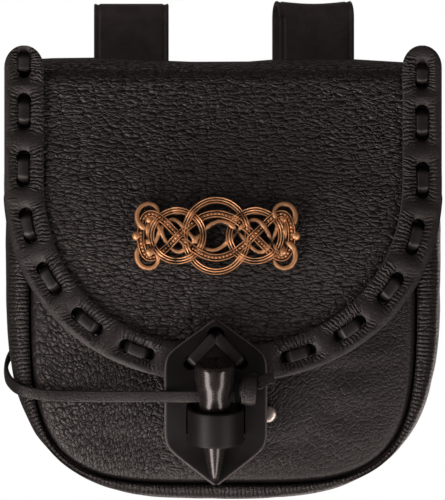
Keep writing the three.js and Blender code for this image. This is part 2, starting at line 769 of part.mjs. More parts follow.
const loopRivets = LOOPS.flatMap(({ x, skew }) => {
  const middle = x + skew * LOOP_RIVET.skewShare;
  return [middle - LOOP_RIVET.spread, middle + LOOP_RIVET.spread];
});
const rivetHeadY = loopSeat + 1.5 * LOOP.thickness + 2 * GAP;
const rivetGrip = rivetHeadY - (BACK_Y - WALL) + GAP;
const loopRivetRooms = loopRivets.map((x) =>
  holeThrough(x, LOOP_RIVET.z, LOOP_RIVET.shank + GAP, [rivetHeadY + 4, BACK_Y - WALL - 4]),
);

function loopRivet(x) {
  const solid = rivet({ ...LOOP_RIVET, grip: rivetGrip, washer: LOOP_RIVET.head });
  const backwards = new THREE.Vector3(0, 1, 0);
  return aimed(solid, backwards, new THREE.Vector3(x, rivetHeadY, LOOP_RIVET.z));
}

// ---- The ornament ----

// A line of the casting, drawn in the ornament's own plane (u across, v up) and laid on the flap.
class OrnamentLine extends THREE.Curve {
  constructor(line, radius) {
    super();
    this.line = line;
    this.radius = radius;
  }

  getPoint(part, target = new THREE.Vector3()) {
    const { u, v, lift } = this.line(part);
    const [x, z] = [ORNAMENT.x + u, ORNAMENT.z + v];
    return target.set(x, flapFace(x, z) - GAP - this.radius - lift, z);
  }
}

const STRAND_SIDES = 5;

function endlessStrand(line, steps, radius) {
  return new THREE.TubeGeometry(new OrnamentLine(line, radius), steps, radius, STRAND_SIDES, true);
}

function openStrand(line, steps, radius) {
  const circle = new THREE.Path().absarc(0, 0, radius, 0, FULL_TURN);
  const section = new THREE.Shape(circle.getSpacedPoints(STRAND_SIDES));
  return new THREE.ExtrudeGeometry(section, { steps, extrudePath: new OrnamentLine(line, radius) });
}

const FULL_TURN = 2 * Math.PI;

// An endless strand that runs along the band and back, crossing itself between its lobes.
const chain = (part) => ({
  u: CHAIN.halfLength * Math.cos(FULL_TURN * part),
  v: CHAIN.halfHeight * Math.sin(CHAIN.lobes * FULL_TURN * part),
  lift: 0.6 + 0.4 * Math.sin(FULL_TURN * part),
});

const ring = ({ u, radiusU, radiusV, lift }) => (part) => ({
  u: u + radiusU * Math.cos(FULL_TURN * part),
  v: radiusV * Math.sin(FULL_TURN * part),
  lift,
});

// A scroll that starts on the band and curls inwards.
const scroll = (side, up) => (part) => {
  const angle = lerp(-0.5, 1.35, part) * Math.PI;
  const radius = SCROLL.size * lerp(1, 0.4, part);
  const [u, v] = [SCROLL.u + radius * Math.cos(angle), SCROLL.v + radius * Math.sin(angle)];
  return { u: side * u, v: up * v, lift: 0.2 };
};

function ornament() {
  const pieces = [endlessStrand(chain, 44, CHAIN.radius)];
  for (const place of ORNAMENT_RINGS) pieces.push(endlessStrand(ring(place), 18, RING_STRAND_RADIUS));
  for (const side of [-1, 1]) {
    for (const up of [-1, 1]) pieces.push(openStrand(scroll(side, up), 8, SCROLL.radius));
    const postX = ORNAMENT.x + side * ORNAMENT.postX;
    const face = flapFace(postX, ORNAMENT.z);
    pieces.push(holeThrough(postX, ORNAMENT.z, ORNAMENT.post, [face - 1.2, face + WALL + 1]));
  }
  return join(pieces);
}

const postRooms = [-1, 1].map((side) => {
  const postX = ORNAMENT.x + side * ORNAMENT.postX;
  const face = flapFace(postX, ORNAMENT.z);
  return holeThrough(postX, ORNAMENT.z, ORNAMENT.post + GAP, [face - 2, face + WALL + 2]);
});

// ---- The whole pouch ----

const laceHoles = [...stitchHoles(-1), ...stitchHoles(1)];

addPiece("front_panel", cut(frontPanel(), [keeperRoom, ...keeperRivetRooms]), LEATHER);
addPiece("gusset", cut(gusset(), [thongSlit()]), LEATHER);
addPiece(
  "back_and_flap",
  cut(backAndFlap(), [...laceHoles, ...plateLaceHoles, ...postRooms, ...loopRivetRooms]),
  LEATHER,
);
addPiece("border_strip", cut(borderStrip(), [...laceHoles, ...plateLaceHoles]), LEATHER);
addPiece("border_lace_left", borderLace(-1), LEATHER);
addPiece("border_lace_right", borderLace(1), LEATHER);
const plate = thicken(surface(plateRows()), PLATE.thickness);
addPiece("hex_plate", cut(plate, [...plateLaceHoles, keeperRoom]), SMOOTH_LEATHER);
addPiece("plate_lace", join([plateLaceLeg(-1), plateLaceLeg(1)]), LEATHER);
const band = strap(keeper.points, keeper.widths, keeperSize);
addPiece("keeper_band", cut(band, keeperRivetRooms), SMOOTH_LEATHER);
for (const { side, solid } of keeperRivets) addPiece(`keeper_rivet_${side}`, solid, STEEL);
addPiece("toggle", toggle(), HORN);
addPiece("thong", strap(thong.points, thong.widths, THONG), LEATHER);
addPiece("thong_knot", thongKnot(), LEATHER);
addPiece("thong_stopper", thongStopper(), LEATHER);
for (const loop of LOOPS) {
  addPiece(`belt_loop_${loop.side}`, cut(beltLoop(loop), loopRivetRooms), SMOOTH_LEATHER);
}
loopRivets.forEach((x, i) => addPiece(`loop_rivet_${i + 1}`, loopRivet(x), STEEL));
addPiece("ornament", ornament(), COPPER);

export default pouch;
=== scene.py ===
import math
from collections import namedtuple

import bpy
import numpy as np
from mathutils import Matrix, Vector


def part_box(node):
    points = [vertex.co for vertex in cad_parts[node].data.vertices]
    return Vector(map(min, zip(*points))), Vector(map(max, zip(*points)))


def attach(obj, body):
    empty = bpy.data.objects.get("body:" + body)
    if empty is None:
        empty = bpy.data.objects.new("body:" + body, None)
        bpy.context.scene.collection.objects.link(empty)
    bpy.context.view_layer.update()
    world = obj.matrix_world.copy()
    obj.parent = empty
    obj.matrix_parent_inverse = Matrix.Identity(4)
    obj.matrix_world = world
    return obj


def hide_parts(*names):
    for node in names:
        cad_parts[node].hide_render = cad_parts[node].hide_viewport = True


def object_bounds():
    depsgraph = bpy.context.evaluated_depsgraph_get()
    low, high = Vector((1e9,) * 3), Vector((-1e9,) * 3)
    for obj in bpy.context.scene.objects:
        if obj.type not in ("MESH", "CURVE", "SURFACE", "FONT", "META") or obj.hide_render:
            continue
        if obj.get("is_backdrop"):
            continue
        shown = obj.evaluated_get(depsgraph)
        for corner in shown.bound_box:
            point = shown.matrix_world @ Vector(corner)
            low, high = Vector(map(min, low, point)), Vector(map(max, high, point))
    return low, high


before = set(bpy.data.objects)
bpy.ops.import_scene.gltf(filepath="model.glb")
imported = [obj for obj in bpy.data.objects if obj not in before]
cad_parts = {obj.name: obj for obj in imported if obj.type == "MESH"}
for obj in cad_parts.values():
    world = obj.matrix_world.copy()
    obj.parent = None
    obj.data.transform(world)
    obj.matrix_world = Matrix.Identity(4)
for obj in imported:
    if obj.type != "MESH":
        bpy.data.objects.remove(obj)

# %% [markdown]
# # A laced belt pouch
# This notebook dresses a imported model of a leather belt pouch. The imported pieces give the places
# and sizes; here each one gets its worn, pebbled or polished look. All shapes are worked out in
# millimetres, with +X to the right as one faces the flap, -Y to the front and +Z up, and are made
# metres only when they become a mesh. The origin is in the middle of the belt.

MM = 0.001
BACKWARDS = (0, 1, 0)
FORWARDS = (0, -1, 0)
cad_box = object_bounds()
print("packed model, mm:", [[round(c / MM, 1) for c in corner] for corner in cad_box])


def smoothstep(value, low, high):
    part = np.clip((value - low) / (high - low), 0, 1)
    return part * part * (3 - 2 * part)


def lerp(low, high, part):
    return low + (high - low) * part


# %% [markdown]
# ## The camera
# A pouch like this is shown straight from the front, from far off with a long lens, so that its
# outline isn't bent. The view is a little narrower than the pouch is tall: the picture just holds it.

# %% Camera
VIEW_CENTRE = Vector((-0.2, -45, -68.7)) * MM
VIEW_HEIGHT = 193 * MM
VIEW_DISTANCE = 7.0


def add_camera():
    data = bpy.data.cameras.new("camera")
    data.lens = data.sensor_width * VIEW_DISTANCE / VIEW_HEIGHT
    data.clip_end = 60
    camera = bpy.data.objects.new("camera", data)
    camera.location = VIEW_CENTRE - Vector((0, VIEW_DISTANCE, 0))
    camera.rotation_euler = (math.pi / 2, 0, 0)
    bpy.context.scene.collection.objects.link(camera)
    bpy.context.scene.camera = camera
    print("camera lens, mm:", round(data.lens))


add_camera()

# %% [markdown]
# ## Meshes from rows of points
# A sheet of leather is a grid: rows of points that a rule works out. One helper turns such a grid
# into a mesh with its faces towards the side from which the next row lies to the left. Another
# one gives the finished piece its place in the frame.

# %% Grids, and handing a piece over


def new_object(name, points, faces, edges=()):
    mesh = bpy.data.meshes.new(name)
    mesh.from_pydata((np.asarray(points) * MM).tolist(), list(edges), faces)
    thing = bpy.data.objects.new(name, mesh)
    bpy.context.scene.collection.objects.link(thing)
    return thing


def grid_faces(rows, columns, around=False):
    index = np.arange(rows * columns).reshape(rows, columns)
    if around:
        index = np.hstack([index, index[:, :1]])
    corners = [index[:-1, :-1], index[:-1, 1:], index[1:, 1:], index[1:, :-1]]
    return np.stack(corners, -1).reshape(-1, 4).tolist()


def new_sheet(name, x, y, z):
    """A grid from the rows of its X, its Y and its Z."""
    return new_object(name, np.stack([x, y, z], -1).reshape(-1, 3), grid_faces(*x.shape))


def read(items, name, size, kind=float):
    """What all vertices, edges or corners of a mesh say under a name, in rows."""
    values = np.zeros(len(items) * size, kind)
    items.foreach_get(name, values)
    return values.reshape(-1, size)


def set_map(thing, name, coordinates):
    """A UV map from one pair of coordinates for each vertex."""
    layer = thing.data.uv_layers.new(name=name)
    vertex = read(thing.data.loops, "vertex_index", 1, int)[:, 0]
    layer.data.foreach_set("uv", np.asarray(coordinates).reshape(-1, 2)[vertex].ravel())


def set_number(thing, name, values):
    attribute = thing.data.attributes.new(name, "FLOAT", "POINT")
    attribute.data.foreach_set("value", np.asarray(values, float).ravel())


def set_vector(thing, name, values):
    attribute = thing.data.attributes.new(name, "FLOAT_VECTOR", "POINT")
    attribute.data.foreach_set("vector", np.asarray(values, float).ravel())


def apply_modifiers(thing):
    """The shape that the modifiers make becomes the object's own plain mesh."""
    graph = bpy.context.evaluated_depsgraph_get()
    made = bpy.data.meshes.new_from_object(
        thing.evaluated_get(graph), preserve_all_data_layers=True, depsgraph=graph
    )
    old = thing.data
    thing.modifiers.clear()
    thing.data = made
    bpy.data.meshes.remove(old)
    return thing


def join(things):
    with bpy.context.temp_override(active_object=things[0], selected_editable_objects=things):
        bpy.ops.object.join()
    return things[0]


CRISP_ANGLE = math.radians(40)


def smooth(thing):
    """Smooth shading, but crisp where two faces meet at more than an angle."""
    thing.data.shade_smooth()
    thing.data.set_sharp_from_angle(angle=CRISP_ANGLE)
    return thing


def hand_over(thing, nodes):
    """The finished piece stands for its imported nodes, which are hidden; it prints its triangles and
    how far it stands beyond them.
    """
    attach(thing, "root")
    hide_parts(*nodes)
    thing.data.calc_loop_triangles()
    corners = read(thing.data.vertices, "co", 3)
    packed = np.array([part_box(node) for node in nodes])
    low, high = packed[:, 0].min(0), packed[:, 1].max(0)
    beyond = max((low - corners.min(0)).max(), (corners.max(0) - high).max())
    triangles = len(thing.data.loop_triangles)
    print(f"{thing.name}: {triangles} triangles, {beyond / MM:.1f} mm beyond its packed shape")
    return thing


# %% [markdown]
# ## Node graphs as sums
# A finish or a modifier is a graph of nodes, and most of it is plain arithmetic. This small class
# wraps a node's output, so that a sum written in Python adds the Math nodes by itself. One method
# makes every other node: its type, then its settings, then what goes into its sockets.

# %% Sockets and graphs


class Output:
    def __init__(self, graph, socket):
        self.graph = graph
        self.socket = socket

    def math(self, operation, first, second=0.0):
        return self.graph.node("ShaderNodeMath", {"operation": operation}, {0: first, 1: second})

    def __add__(self, other):
        return self.math("ADD", self, other)

    def __radd__(self, other):
        return self.math("ADD", other, self)

    def __sub__(self, other):
        return self.math("SUBTRACT", self, other)

    def __rsub__(self, other):
        return self.math("SUBTRACT", other, self)

    def __mul__(self, other):
        return self.math("MULTIPLY", self, other)

    def __rmul__(self, other):
        return self.math("MULTIPLY", other, self)

    def __pow__(self, other):
        return self.math("POWER", self, other)

    def sine(self):
        return self.math("SINE", self)

    def absolute(self):
        return self.math("ABSOLUTE", self)

    def between(self, low, high):
        """0 below low, 1 above high, and an eased step from one to the other."""
        settings = {"interpolation_type": "SMOOTHSTEP"}
        return self.graph.node("ShaderNodeMapRange", settings, {0: self, 1: low, 2: high})


class Graph:
    def __init__(self, tree):
        self.tree = tree

    def node(self, kind, settings=None, inputs=None, output=0):
        made = self.tree.nodes.new(kind)
        for name, value in (settings or {}).items():
            setattr(made, name, value)
        for key, value in (inputs or {}).items():
            if isinstance(value, Output):
                self.tree.links.new(value.socket, made.inputs[key])
            else:
                made.inputs[key].default_value = value
        return Output(self, made.outputs[output]) if len(made.outputs) else made

    def vector(self, operation, first, second):
        return self.node("ShaderNodeVectorMath", {"operation": operation}, {0: first, 1: second})

    def mix_colour(self, share, first, second):
        """One colour, another, or a share of both. The Mix node's colour sockets are 6 and 7, and 2."""
        sockets = {0: share, 6: first, 7: second}
        return self.node("ShaderNodeMix", {"data_type": "RGBA"}, sockets, output=2)

    def parts(self, vector):
        """A vector's X and its Y, as two numbers."""
        made = self.node("ShaderNodeSeparateXYZ", inputs={0: vector}).socket.node
        return Output(self, made.outputs["X"]), Output(self, made.outputs["Y"])


# %% A finish and a geometry tree


class Finish(Graph):
    """A material with one Principled shader. Plain numbers go straight to the shader's sockets."""

    def __init__(self, name):
        self.material = bpy.data.materials.new(name)
        self.material.use_nodes = True
        super().__init__(self.material.node_tree)
        self.tree.nodes.clear()

    def shade(self, **inputs):
        sockets = {name.replace("_", " "): value for name, value in inputs.items()}
        shader = self.node("ShaderNodeBsdfPrincipled", inputs=sockets)
        self.node("ShaderNodeOutputMaterial", inputs={"Surface": shader})
        return self.material

    def bump(self, height, depth):
        """A normal that tells of a relief; depth is the rise in millimetres of a height of 1."""
        sockets = {"Height": height, "Distance": depth * MM, "Strength": 1.0}
        return self.node("ShaderNodeBump", inputs=sockets)

    def map(self, name):
        return self.node("ShaderNodeUVMap", {"uv_map": name})

    def number(self, name):
        """A number that the mesh carries on its points."""
        return self.node("ShaderNodeAttribute", {"attribute_name": name}, output="Fac")

    def place(self, scale):
        """The surface's own place in space, in steps of the given size in millimetres."""
        spot = self.node("ShaderNodeTexCoord", output="Object")
        return self.vector("MULTIPLY", spot, [1 / (MM * size) for size in np.broadcast_to(scale, 3)])

    def noise(self, place, detail=2.0, distortion=0.0):
        sockets = {"Vector": place, "Scale": 1.0, "Detail": detail, "Distortion": distortion}
        return self.node("ShaderNodeTexNoise", inputs=sockets)


class GeometryTree(Graph):
    def __init__(self, name, inputs):
        super().__init__(bpy.data.node_groups.new(name, "GeometryNodeTree"))
        face = self.tree.interface
        face.new_socket("Geometry", in_out="INPUT", socket_type="NodeSocketGeometry")
        face.new_socket("Geometry", in_out="OUTPUT", socket_type="NodeSocketGeometry")
        self.identifiers = {}
        for label, kind in inputs.items():
            made = face.new_socket(label, in_out="INPUT", socket_type=f"NodeSocket{kind}")
            self.identifiers[label] = made.identifier
        self.start = self.tree.nodes.new("NodeGroupInput")

    def input(self, label):
        return Output(self, self.start.outputs[label])

    def attribute(self, name, kind="FLOAT"):
        return self.node("GeometryNodeInputNamedAttribute", {"data_type": kind}, {"Name": name})

    def end(self, geometry):
        real = self.node("GeometryNodeRealizeInstances", inputs={"Geometry": geometry})
        sockets = {"Geometry": real, "Material": self.input("Material")}
        painted = self.node("GeometryNodeSetMaterial", inputs=sockets)
        self.node("NodeGroupOutput", inputs={0: painted})

    def put_on(self, thing, **values):
        modifier = thing.modifiers.new(self.tree.name, "NODES")
        modifier.node_group = self.tree
        for label, value in values.items():
            modifier[self.identifiers[label.replace("_", " ")]] = value
        return apply_modifiers(thing)


# %% [markdown]
# ## Black leather
# The bag is cut from full-grain hide with a coarse pebble: low domes a few millimetres across,
# parted by narrow creases. A smooth Voronoi pattern gives the domes, its distance to the
# cell edges the creases, and a larger one the islands that some domes stand on together. The
# colour is painted light and shade: paler on the domes' crowns, darker in the creases and along
# the islands' edges, and on ribbed sheets paler on each rib and darker in its valleys. Patches
# of a slow noise let the creases come and go. Every sheet carries a map called grain, its own flat
# lay in millimetres, so the cells can be drawn out sideways where the hide was stretched. Where the
# pebble or the painted light varies over a sheet, its points carry it as a number.

# %% Tones, creases and gathers
# Painted light and shade: the crease tone is a painted shade, and each crown tone is the hide painted
# paler on the domes' tops.
PAINTED_CREASE_SHADE = (0.0016, 0.0012, 0.0011, 1)
FLAP_CROWN = (0.0470, 0.0402, 0.0381, 1)
PANEL_CROWN = (0.0250, 0.0215, 0.0205, 1)
BORDER_CROWN = (0.0270, 0.0230, 0.0218, 1)
HIDE_SHINE = 0.48


def folds_across(along, pitch):
    """Rounded ribs with sharp valleys between them, at a pitch in millimetres, about a height of 0."""
    return (along * (math.pi / pitch)).sine().absolute() ** 0.7 - 0.7


def puckers(finish):
    """Short creases on both sides of each lace stitch. The map called stitch gives the distance
    along the lace from the stitch's middle, and across it, outwards positive."""
    along, across = finish.parts(finish.map("stitch"))
    stray = finish.noise(finish.place(2.2))
    fan = along * (1 - 0.04 * across.absolute()) + 1.7 * (stray - 0.5)
    near = 1 - along.absolute().between(6.5, 10.3)
    inner = (0 - across).between(1.8, 3.2) * (1 - 0.6 * (0 - across).between(5.0, 8.0))
    outer = across.between(1.8, 3.0) * (1 - across.between(3.4, 6.0))
    some = finish.noise(finish.place(3.7)).between(0.25, 0.48)
    ribs = 0.65 * folds_across(fan, 1.25) + 0.35 * folds_across(fan + stray, 2.2)
    return ribs * near * (inner + 0.6 * outer) * some


def gathers(finish):
    """The gathers of the rolled seam, strongest at the groove."""
    lay = finish.map("grain")
    along, from_seam = finish.parts(lay)
    stray = finish.noise(finish.vector("MULTIPLY", lay, (0.3, 0.16, 1)))
    fade = 1 - 0.8 * from_seam.between(7.0, 15.0)
    return 0.6 * folds_across(along + 2.0 * stray, 1.55) * fade * stray.between(0.25, 0.55)


# %% Pebbled hide


def hide_finish(name, cell, depth, crown, roughness=0.36, pebble=1.0, ribs=None, flat=True, painted_light_and_dullness=""):
    """Pebbled hide. cell is a pebble's width and height, and depth its rise, all in millimetres.
    pebble says how much of the grain is left where the hide was drawn tight. It is the name of a
    number on the sheet's points where that varies. crown is the colour painted on the domes' tops,
    a painted light, and the creases are painted darker, a painted shade. The last argument names
    a number on the points for painted light: the lower it is, the darker the hide is painted, as
    shade, and the glossier it is; the higher, the paler and the duller."""
    finish = Finish(name)
    if isinstance(pebble, str):
        pebble = finish.number(pebble)
    lay = finish.map("grain") if flat else finish.place(1.0)
    steps = finish.vector("MULTIPLY", lay, (1 / cell[0], 1 / cell[1], 1 / cell[1]))
    sockets = {"Vector": steps, "Scale": 0.8, "Detail": 2.0}
    wander = finish.node("ShaderNodeTexNoise", inputs=sockets, output="Color")
    wander = finish.vector("SUBTRACT", wander, (0.5, 0.5, 0.5))
    bent = finish.vector("ADD", steps, wander)

    def scaled(x, y):
        return finish.vector("MULTIPLY", bent, (x, y, y))

    def cells(place, feature, **inputs):
        settings = {"feature": feature, "voronoi_dimensions": "2D" if flat else "3D"}
        return finish.node("ShaderNodeTexVoronoi", settings, {"Vector": place, "Scale": 1.0, **inputs})

    dome = 1 - cells(bent, "SMOOTH_F1", Smoothness=0.4) ** 2
    crease = 1 - cells(bent, "DISTANCE_TO_EDGE").between(0.0, 0.15)
    island = cells(scaled(0.46, 0.40), "DISTANCE_TO_EDGE").between(0.0, 0.11)
    pores = finish.noise(scaled(5, 5), 3.0)
    patches = finish.noise(scaled(0.12, 0.12)).between(0.35, 0.65)
    cut_deep = (0.3 + 0.7 * patches) * crease
    height = pebble * (0.85 * dome - 0.28 * cut_deep + 0.36 * island) + 0.05 * pores
    # top sets the painted tone: paler on the domes, a painted light, and darker in the creases and by
    # the islands' edges, a painted shade. The patches are the hide's own uneven tone.
    top = (dome * 1.3 - 0.35 - 0.7 * cut_deep) * (0.3 + 0.7 * island) * (0.75 + 0.5 * patches)
    top = 0.55 * (1 - pebble) + pebble * top + 0.12 * (pores - 0.5)
    if ribs:
        raised = ribs(finish)
        height = height + 0.9 * raised
        # The ribs are painted too: paler crests, a painted light, and darker valleys, a painted shade.
        top = top + 0.9 * raised
    dull = roughness + 0.2 * (1 - top) + 0.10 * (pores - 0.5)
    if painted_light_and_dullness:
        # This number is painted light, not wear: where it is low the hide is painted darker, a painted
        # shade, and made glossier.
        wear = finish.number(painted_light_and_dullness)
        top = top * wear
        dull = dull + 0.22 * (wear - 0.75)
    colour = finish.mix_colour(top, PAINTED_CREASE_SHADE, crown)
    normal = finish.bump(height, depth)
    return finish.shade(Base_Color=colour, Roughness=dull, Normal=normal, Specular_IOR_Level=HIDE_SHINE)


# %% Strap leather, the cut edge and the flesh side


def smooth_finish(name, crown, roughness=0.50, shine=HIDE_SHINE):
    """Vegetable-tanned strap leather: nearly smooth, with pores, faint streaks and handling marks."""
    finish = Finish(name)
    pores = finish.noise(finish.place(0.45))
    streaks = finish.noise(finish.place((3.4, 3.4, 2.6)), 4.0, 0.6).between(0.3, 0.75)
    marks = finish.noise(finish.place(9.0), 3.0)
    low = tuple(0.5 * c for c in crown[:3]) + (1,)
    colour = finish.mix_colour(0.35 * streaks + 0.65 * marks.between(0.3, 0.7), low, crown)
    dull = roughness + 0.18 * (marks - 0.5) + 0.10 * (pores - 0.5)
    normal = finish.bump(pores * 0.6 + streaks * 0.4, 0.05)
    return finish.shade(Base_Color=colour, Roughness=dull, Normal=normal, Specular_IOR_Level=shine)


def cut_edge_finish():
    """The trimmed edge of a hide, dyed and worn smooth by rubbing: a little paler than the face, partly
    its own tone and partly a painted highlight, the light line a cut edge catches, and layered.
    """
    finish = Finish("cut_edge")
    fibres = finish.noise(finish.place(0.35), 3.0)
    colour = finish.mix_colour(fibres, (0.040, 0.0345, 0.0325, 1), (0.120, 0.104, 0.098, 1))
    normal = finish.bump(fibres, 0.12)
    return finish.shade(Base_Color=colour, Roughness=0.55 + 0.2 * fibres, Normal=normal)


def flesh_finish():
    """The flesh side of the hide, on the inside of the pouch: a short brown nap."""
    finish = Finish("flesh_side")
    nap = finish.noise(finish.place(0.5), 4.0)
    clouds = finish.noise(finish.place(11.0))
    low, high = (0.028, 0.020, 0.016, 1), (0.075, 0.055, 0.043, 1)
    colour = finish.mix_colour(clouds * 0.6 + nap * 0.4, low, high)
    return finish.shade(Base_Color=colour, Roughness=0.92, Normal=finish.bump(nap, 0.2))


# %% The leathers of the pouch
flap_hide = hide_finish("flap_hide", (2.9, 1.4), 1.25, FLAP_CROWN, painted_light_and_dullness="painted_light_and_dullness")
panel_hide = hide_finish("panel_hide", (2.2, 1.75), 0.85, PANEL_CROWN, pebble="coarse")
gusset_hide = hide_finish("gusset_hide", (1.8, 1.8), 0.9, PANEL_CROWN, pebble=0.35, ribs=gathers)
border_hide = hide_finish("border_hide", (1.3, 1.3), 1.4, BORDER_CROWN, 0.38, pebble=0.06, ribs=puckers)
thong_hide = hide_finish("thong_hide", (1.2, 0.9), 0.3, PANEL_CROWN, pebble=0.35, flat=False)
plate_leather = smooth_finish("plate_leather", (0.0045, 0.0038, 0.0036, 1), 0.48, 0.32)
keeper_leather = smooth_finish("keeper_leather", (0.0055, 0.0047, 0.0044, 1), 0.50, 0.32)
# The belt loops' leather is painted about twenty times paler than the keeper's: painted light for loops
# that stand in the pouch's own shadow.
loop_leather = smooth_finish("loop_leather", (0.1000, 0.0870, 0.0840, 1), 0.5)
lace_leather = smooth_finish("lace_leather", (0.0180, 0.0155, 0.0147, 1), 0.46)
cut_edge = cut_edge_finish()
flesh_side = flesh_finish()
print("leathers:", [material.name for material in bpy.data.materials if material.use_nodes])

# %% [markdown]
# ## Horn, copper and nickel
# The toggle is dark horn polished to a gloss, the ornament a copper-plated casting that was
# blackened and rubbed back, so that its recesses stay dark brown, and the rivets are nickel-plated.
# The casting carries a number called ridge on its points: 1 on what a cloth would rub, 0 deep down.

# %% Hard finishes


def horn_finish():
    finish = Finish("polished_horn")
    streaks = finish.noise(finish.place((1.6, 1.6, 14.0)), 4.0, 0.4)
    dark, pale = (0.0060, 0.0048, 0.0046, 1), (0.022, 0.017, 0.0155, 1)
    colour = finish.mix_colour(streaks.between(0.35, 0.8), dark, pale)
    marks = finish.noise(finish.place(0.9), 3.0)
    normal = finish.bump(marks, 0.003)
    gloss = {"Roughness": 0.20 + 0.14 * marks, "Coat_Weight": 0.35, "Coat_Roughness": 0.12}
    return finish.shade(Base_Color=colour, Normal=normal, **gloss)


def copper_finish():
    finish = Finish("antique_copper")
    ridge = finish.number("ridge")
    stain = finish.noise(finish.place(1.7), 3.0)
    worn = (ridge + 0.5 * (stain - 0.5)).between(0.34, 0.88)
    colour = finish.mix_colour(worn, (0.018, 0.0078, 0.0042, 1), (0.90, 0.48, 0.235, 1))
    grit = finish.noise(finish.place(0.3))
    normal = finish.bump(grit, 0.05)
    dull = 0.55 - 0.17 * worn + 0.1 * stain
    return finish.shade(Base_Color=colour, Metallic=0.2 + 0.5 * worn, Roughness=dull, Normal=normal)


def nickel_finish():
    finish = Finish("nickel")
    wear = finish.noise(finish.place(0.8), 3.0)
    colour = finish.mix_colour(wear, (0.36, 0.33, 0.30, 1), (0.56, 0.52, 0.48, 1))
    normal = finish.bump(wear, 0.02)
    return finish.shade(Base_Color=colour, Metallic=1.0, Roughness=0.26 + 0.16 * wear, Normal=normal)


horn = horn_finish()
copper = copper_finish()
nickel = nickel_finish()
print("and:", [material.name for material in (horn, copper, nickel)])

# %% [markdown]
# ## The filled shape
# What the pouch carries pushes its front out like a cushion held at its seams. The push fades out
# towards the seam along a superellipse, and towards the mouth at the top. The flap lies on it, so
# both follow one rule. Outlines are straight sides down to a shoulder, then a superellipse.

# %% Outlines, and the faces that fill them
Outline = namedtuple("Outline", "half_width drop roundness shoulder top")

WALL = 2.0
GAP = 0.35
BACK_Y = -6.0
SEAM_Y = -42.0
FULLNESS = 12.0
FLAP_STANDOFF = 3.9
FOLD_TOP = (-26.0, 5.8)

SWELL = Outline(84.2, 90, 3.05, -75, -5)
SEAM = Outline(74.6, 84, 4.3, -75, -5)
PANEL = SEAM._replace(top=-12)
BACK = Outline(81.6, 87.6, 3.2, -75, -3)
FLAP = Outline(84.4, 79.6, 2.2, -40, -6)
BORDER_OUTER = FLAP._replace(top=10.2)
BORDER_INNER = Outline(69.2, 66, 2.2, -40, 10.2)
LACE_LINE = Outline(76.8, 72.8, 2.2, -40, 10.2)


def reach_in(outline, x, z):
    """0 in the middle of an outline and 1 on its line, whichever way out."""
    across = np.abs(x) / outline.half_width
    below = np.maximum(0, outline.shoulder - z) / outline.drop
    return (across**outline.roundness + below**outline.roundness) ** (1 / outline.roundness)


def swell(x, z):
    return FULLNESS * np.maximum(0, 1 - reach_in(SWELL, x, z) ** 3.4) * smoothstep(-z, 12, 75)


def panel_face(x, z):
    return SEAM_Y - swell(x, z)


def flap_face(x, z):
    return panel_face(x, z) - FLAP_STANDOFF - WALL


def folded_face(x, z):
    """The flap's face, but leaning back over the fold above the flap's top edge."""
    rise = np.clip((z - FLAP.top) / (FOLD_TOP[1] - FLAP.top), 0, 1)
    over = lerp(FOLD_TOP[0], flap_face(x, FLAP.top + 0 * z), np.sqrt(1 - rise**2))
    return np.where(z <= FLAP.top, flap_face(x, z), over)


def outward(face, x, z):
    step = 0.1
    slope_x = (face(x + step, z) - face(x - step, z)) / (2 * step)
    slope_z = (face(x, z + step) - face(x, z - step)) / (2 * step)
    normal = np.stack([slope_x, -np.ones_like(slope_x), slope_z], -1)
    return normal / np.linalg.norm(normal, axis=-1, keepdims=True)


def above(face, x, z, height):
    """Points that stand a height above a face, square to it."""
    x, z, height = (np.asarray(value, float) for value in np.broadcast_arrays(x, z, height))
    return np.stack([x, face(x, z), z], -1) + outward(face, x, z) * height[..., None]


# %% Points along an outline and within it
ARC_SHARE = 0.6


def outline_point(outline, turn):
    """turn runs from -1, the top of the left side, through 0, the lowest point, to 1."""
    turn = np.asarray(turn, float)
    part = np.abs(turn)
    angle = np.minimum(part / ARC_SHARE, 1) * math.pi / 2
    power = 2 / outline.roundness
    x = np.sign(turn) * outline.half_width * np.sin(angle) ** power
    low = outline.shoulder - outline.drop * np.maximum(np.cos(angle), 0) ** power
    rise = (part - ARC_SHARE) / (1 - ARC_SHARE)
    return x, np.where(part > ARC_SHARE, lerp(outline.shoulder, outline.top, rise), low)


def outline_between(low, high, part):
    return Outline(*(lerp(a, b, part) for a, b in zip(low, high)))


def u_grid(outline, columns, arc_rows, side_rows):
    """Rows that fill a U-shaped outline evenly, from its bottom to its straight top."""
    across, up = np.meshgrid(np.linspace(-1, 1, columns + 1), np.linspace(-1, 0, arc_rows + 1))
    x = across * np.sqrt(1 - up**2 / 2)
    y = up * np.sqrt(1 - across**2 / 2)
    reach = np.maximum(np.hypot(x, y), 1e-9)
    corner = (np.abs(x) / reach) ** outline.roundness + (np.abs(y) / reach) ** outline.roundness
    stretch = 1 + (np.maximum(corner, 0.1) ** (-1 / outline.roundness) - 1) * reach**2
    x = x * stretch * outline.half_width
    z = outline.shoulder + y * stretch * outline.drop
    rises = np.linspace(outline.shoulder, outline.top, side_rows + 1)[1:, None]
    sides = np.linspace(-1, 1, columns + 1)[None, :] * outline.half_width
    x = np.vstack([x, np.broadcast_to(sides, (side_rows, columns + 1))])
    z = np.vstack([z, np.broadcast_to(rises, (side_rows, columns + 1))])
    return x, z


print("the front at its fullest, mm:", round(float(panel_face(0.0, -85.0)), 1))

# %% [markdown]
# ## Relief
# No hide lies perfectly even. This geometry tree pushes a sheet's points in and out along their
# normals: soft dents from a noise, and longer folds from the edges of a few large, drawn-out
# cells. The number calm, 1 near seams and stitches, keeps both away from where a sheet is held.

# %% The relief tree


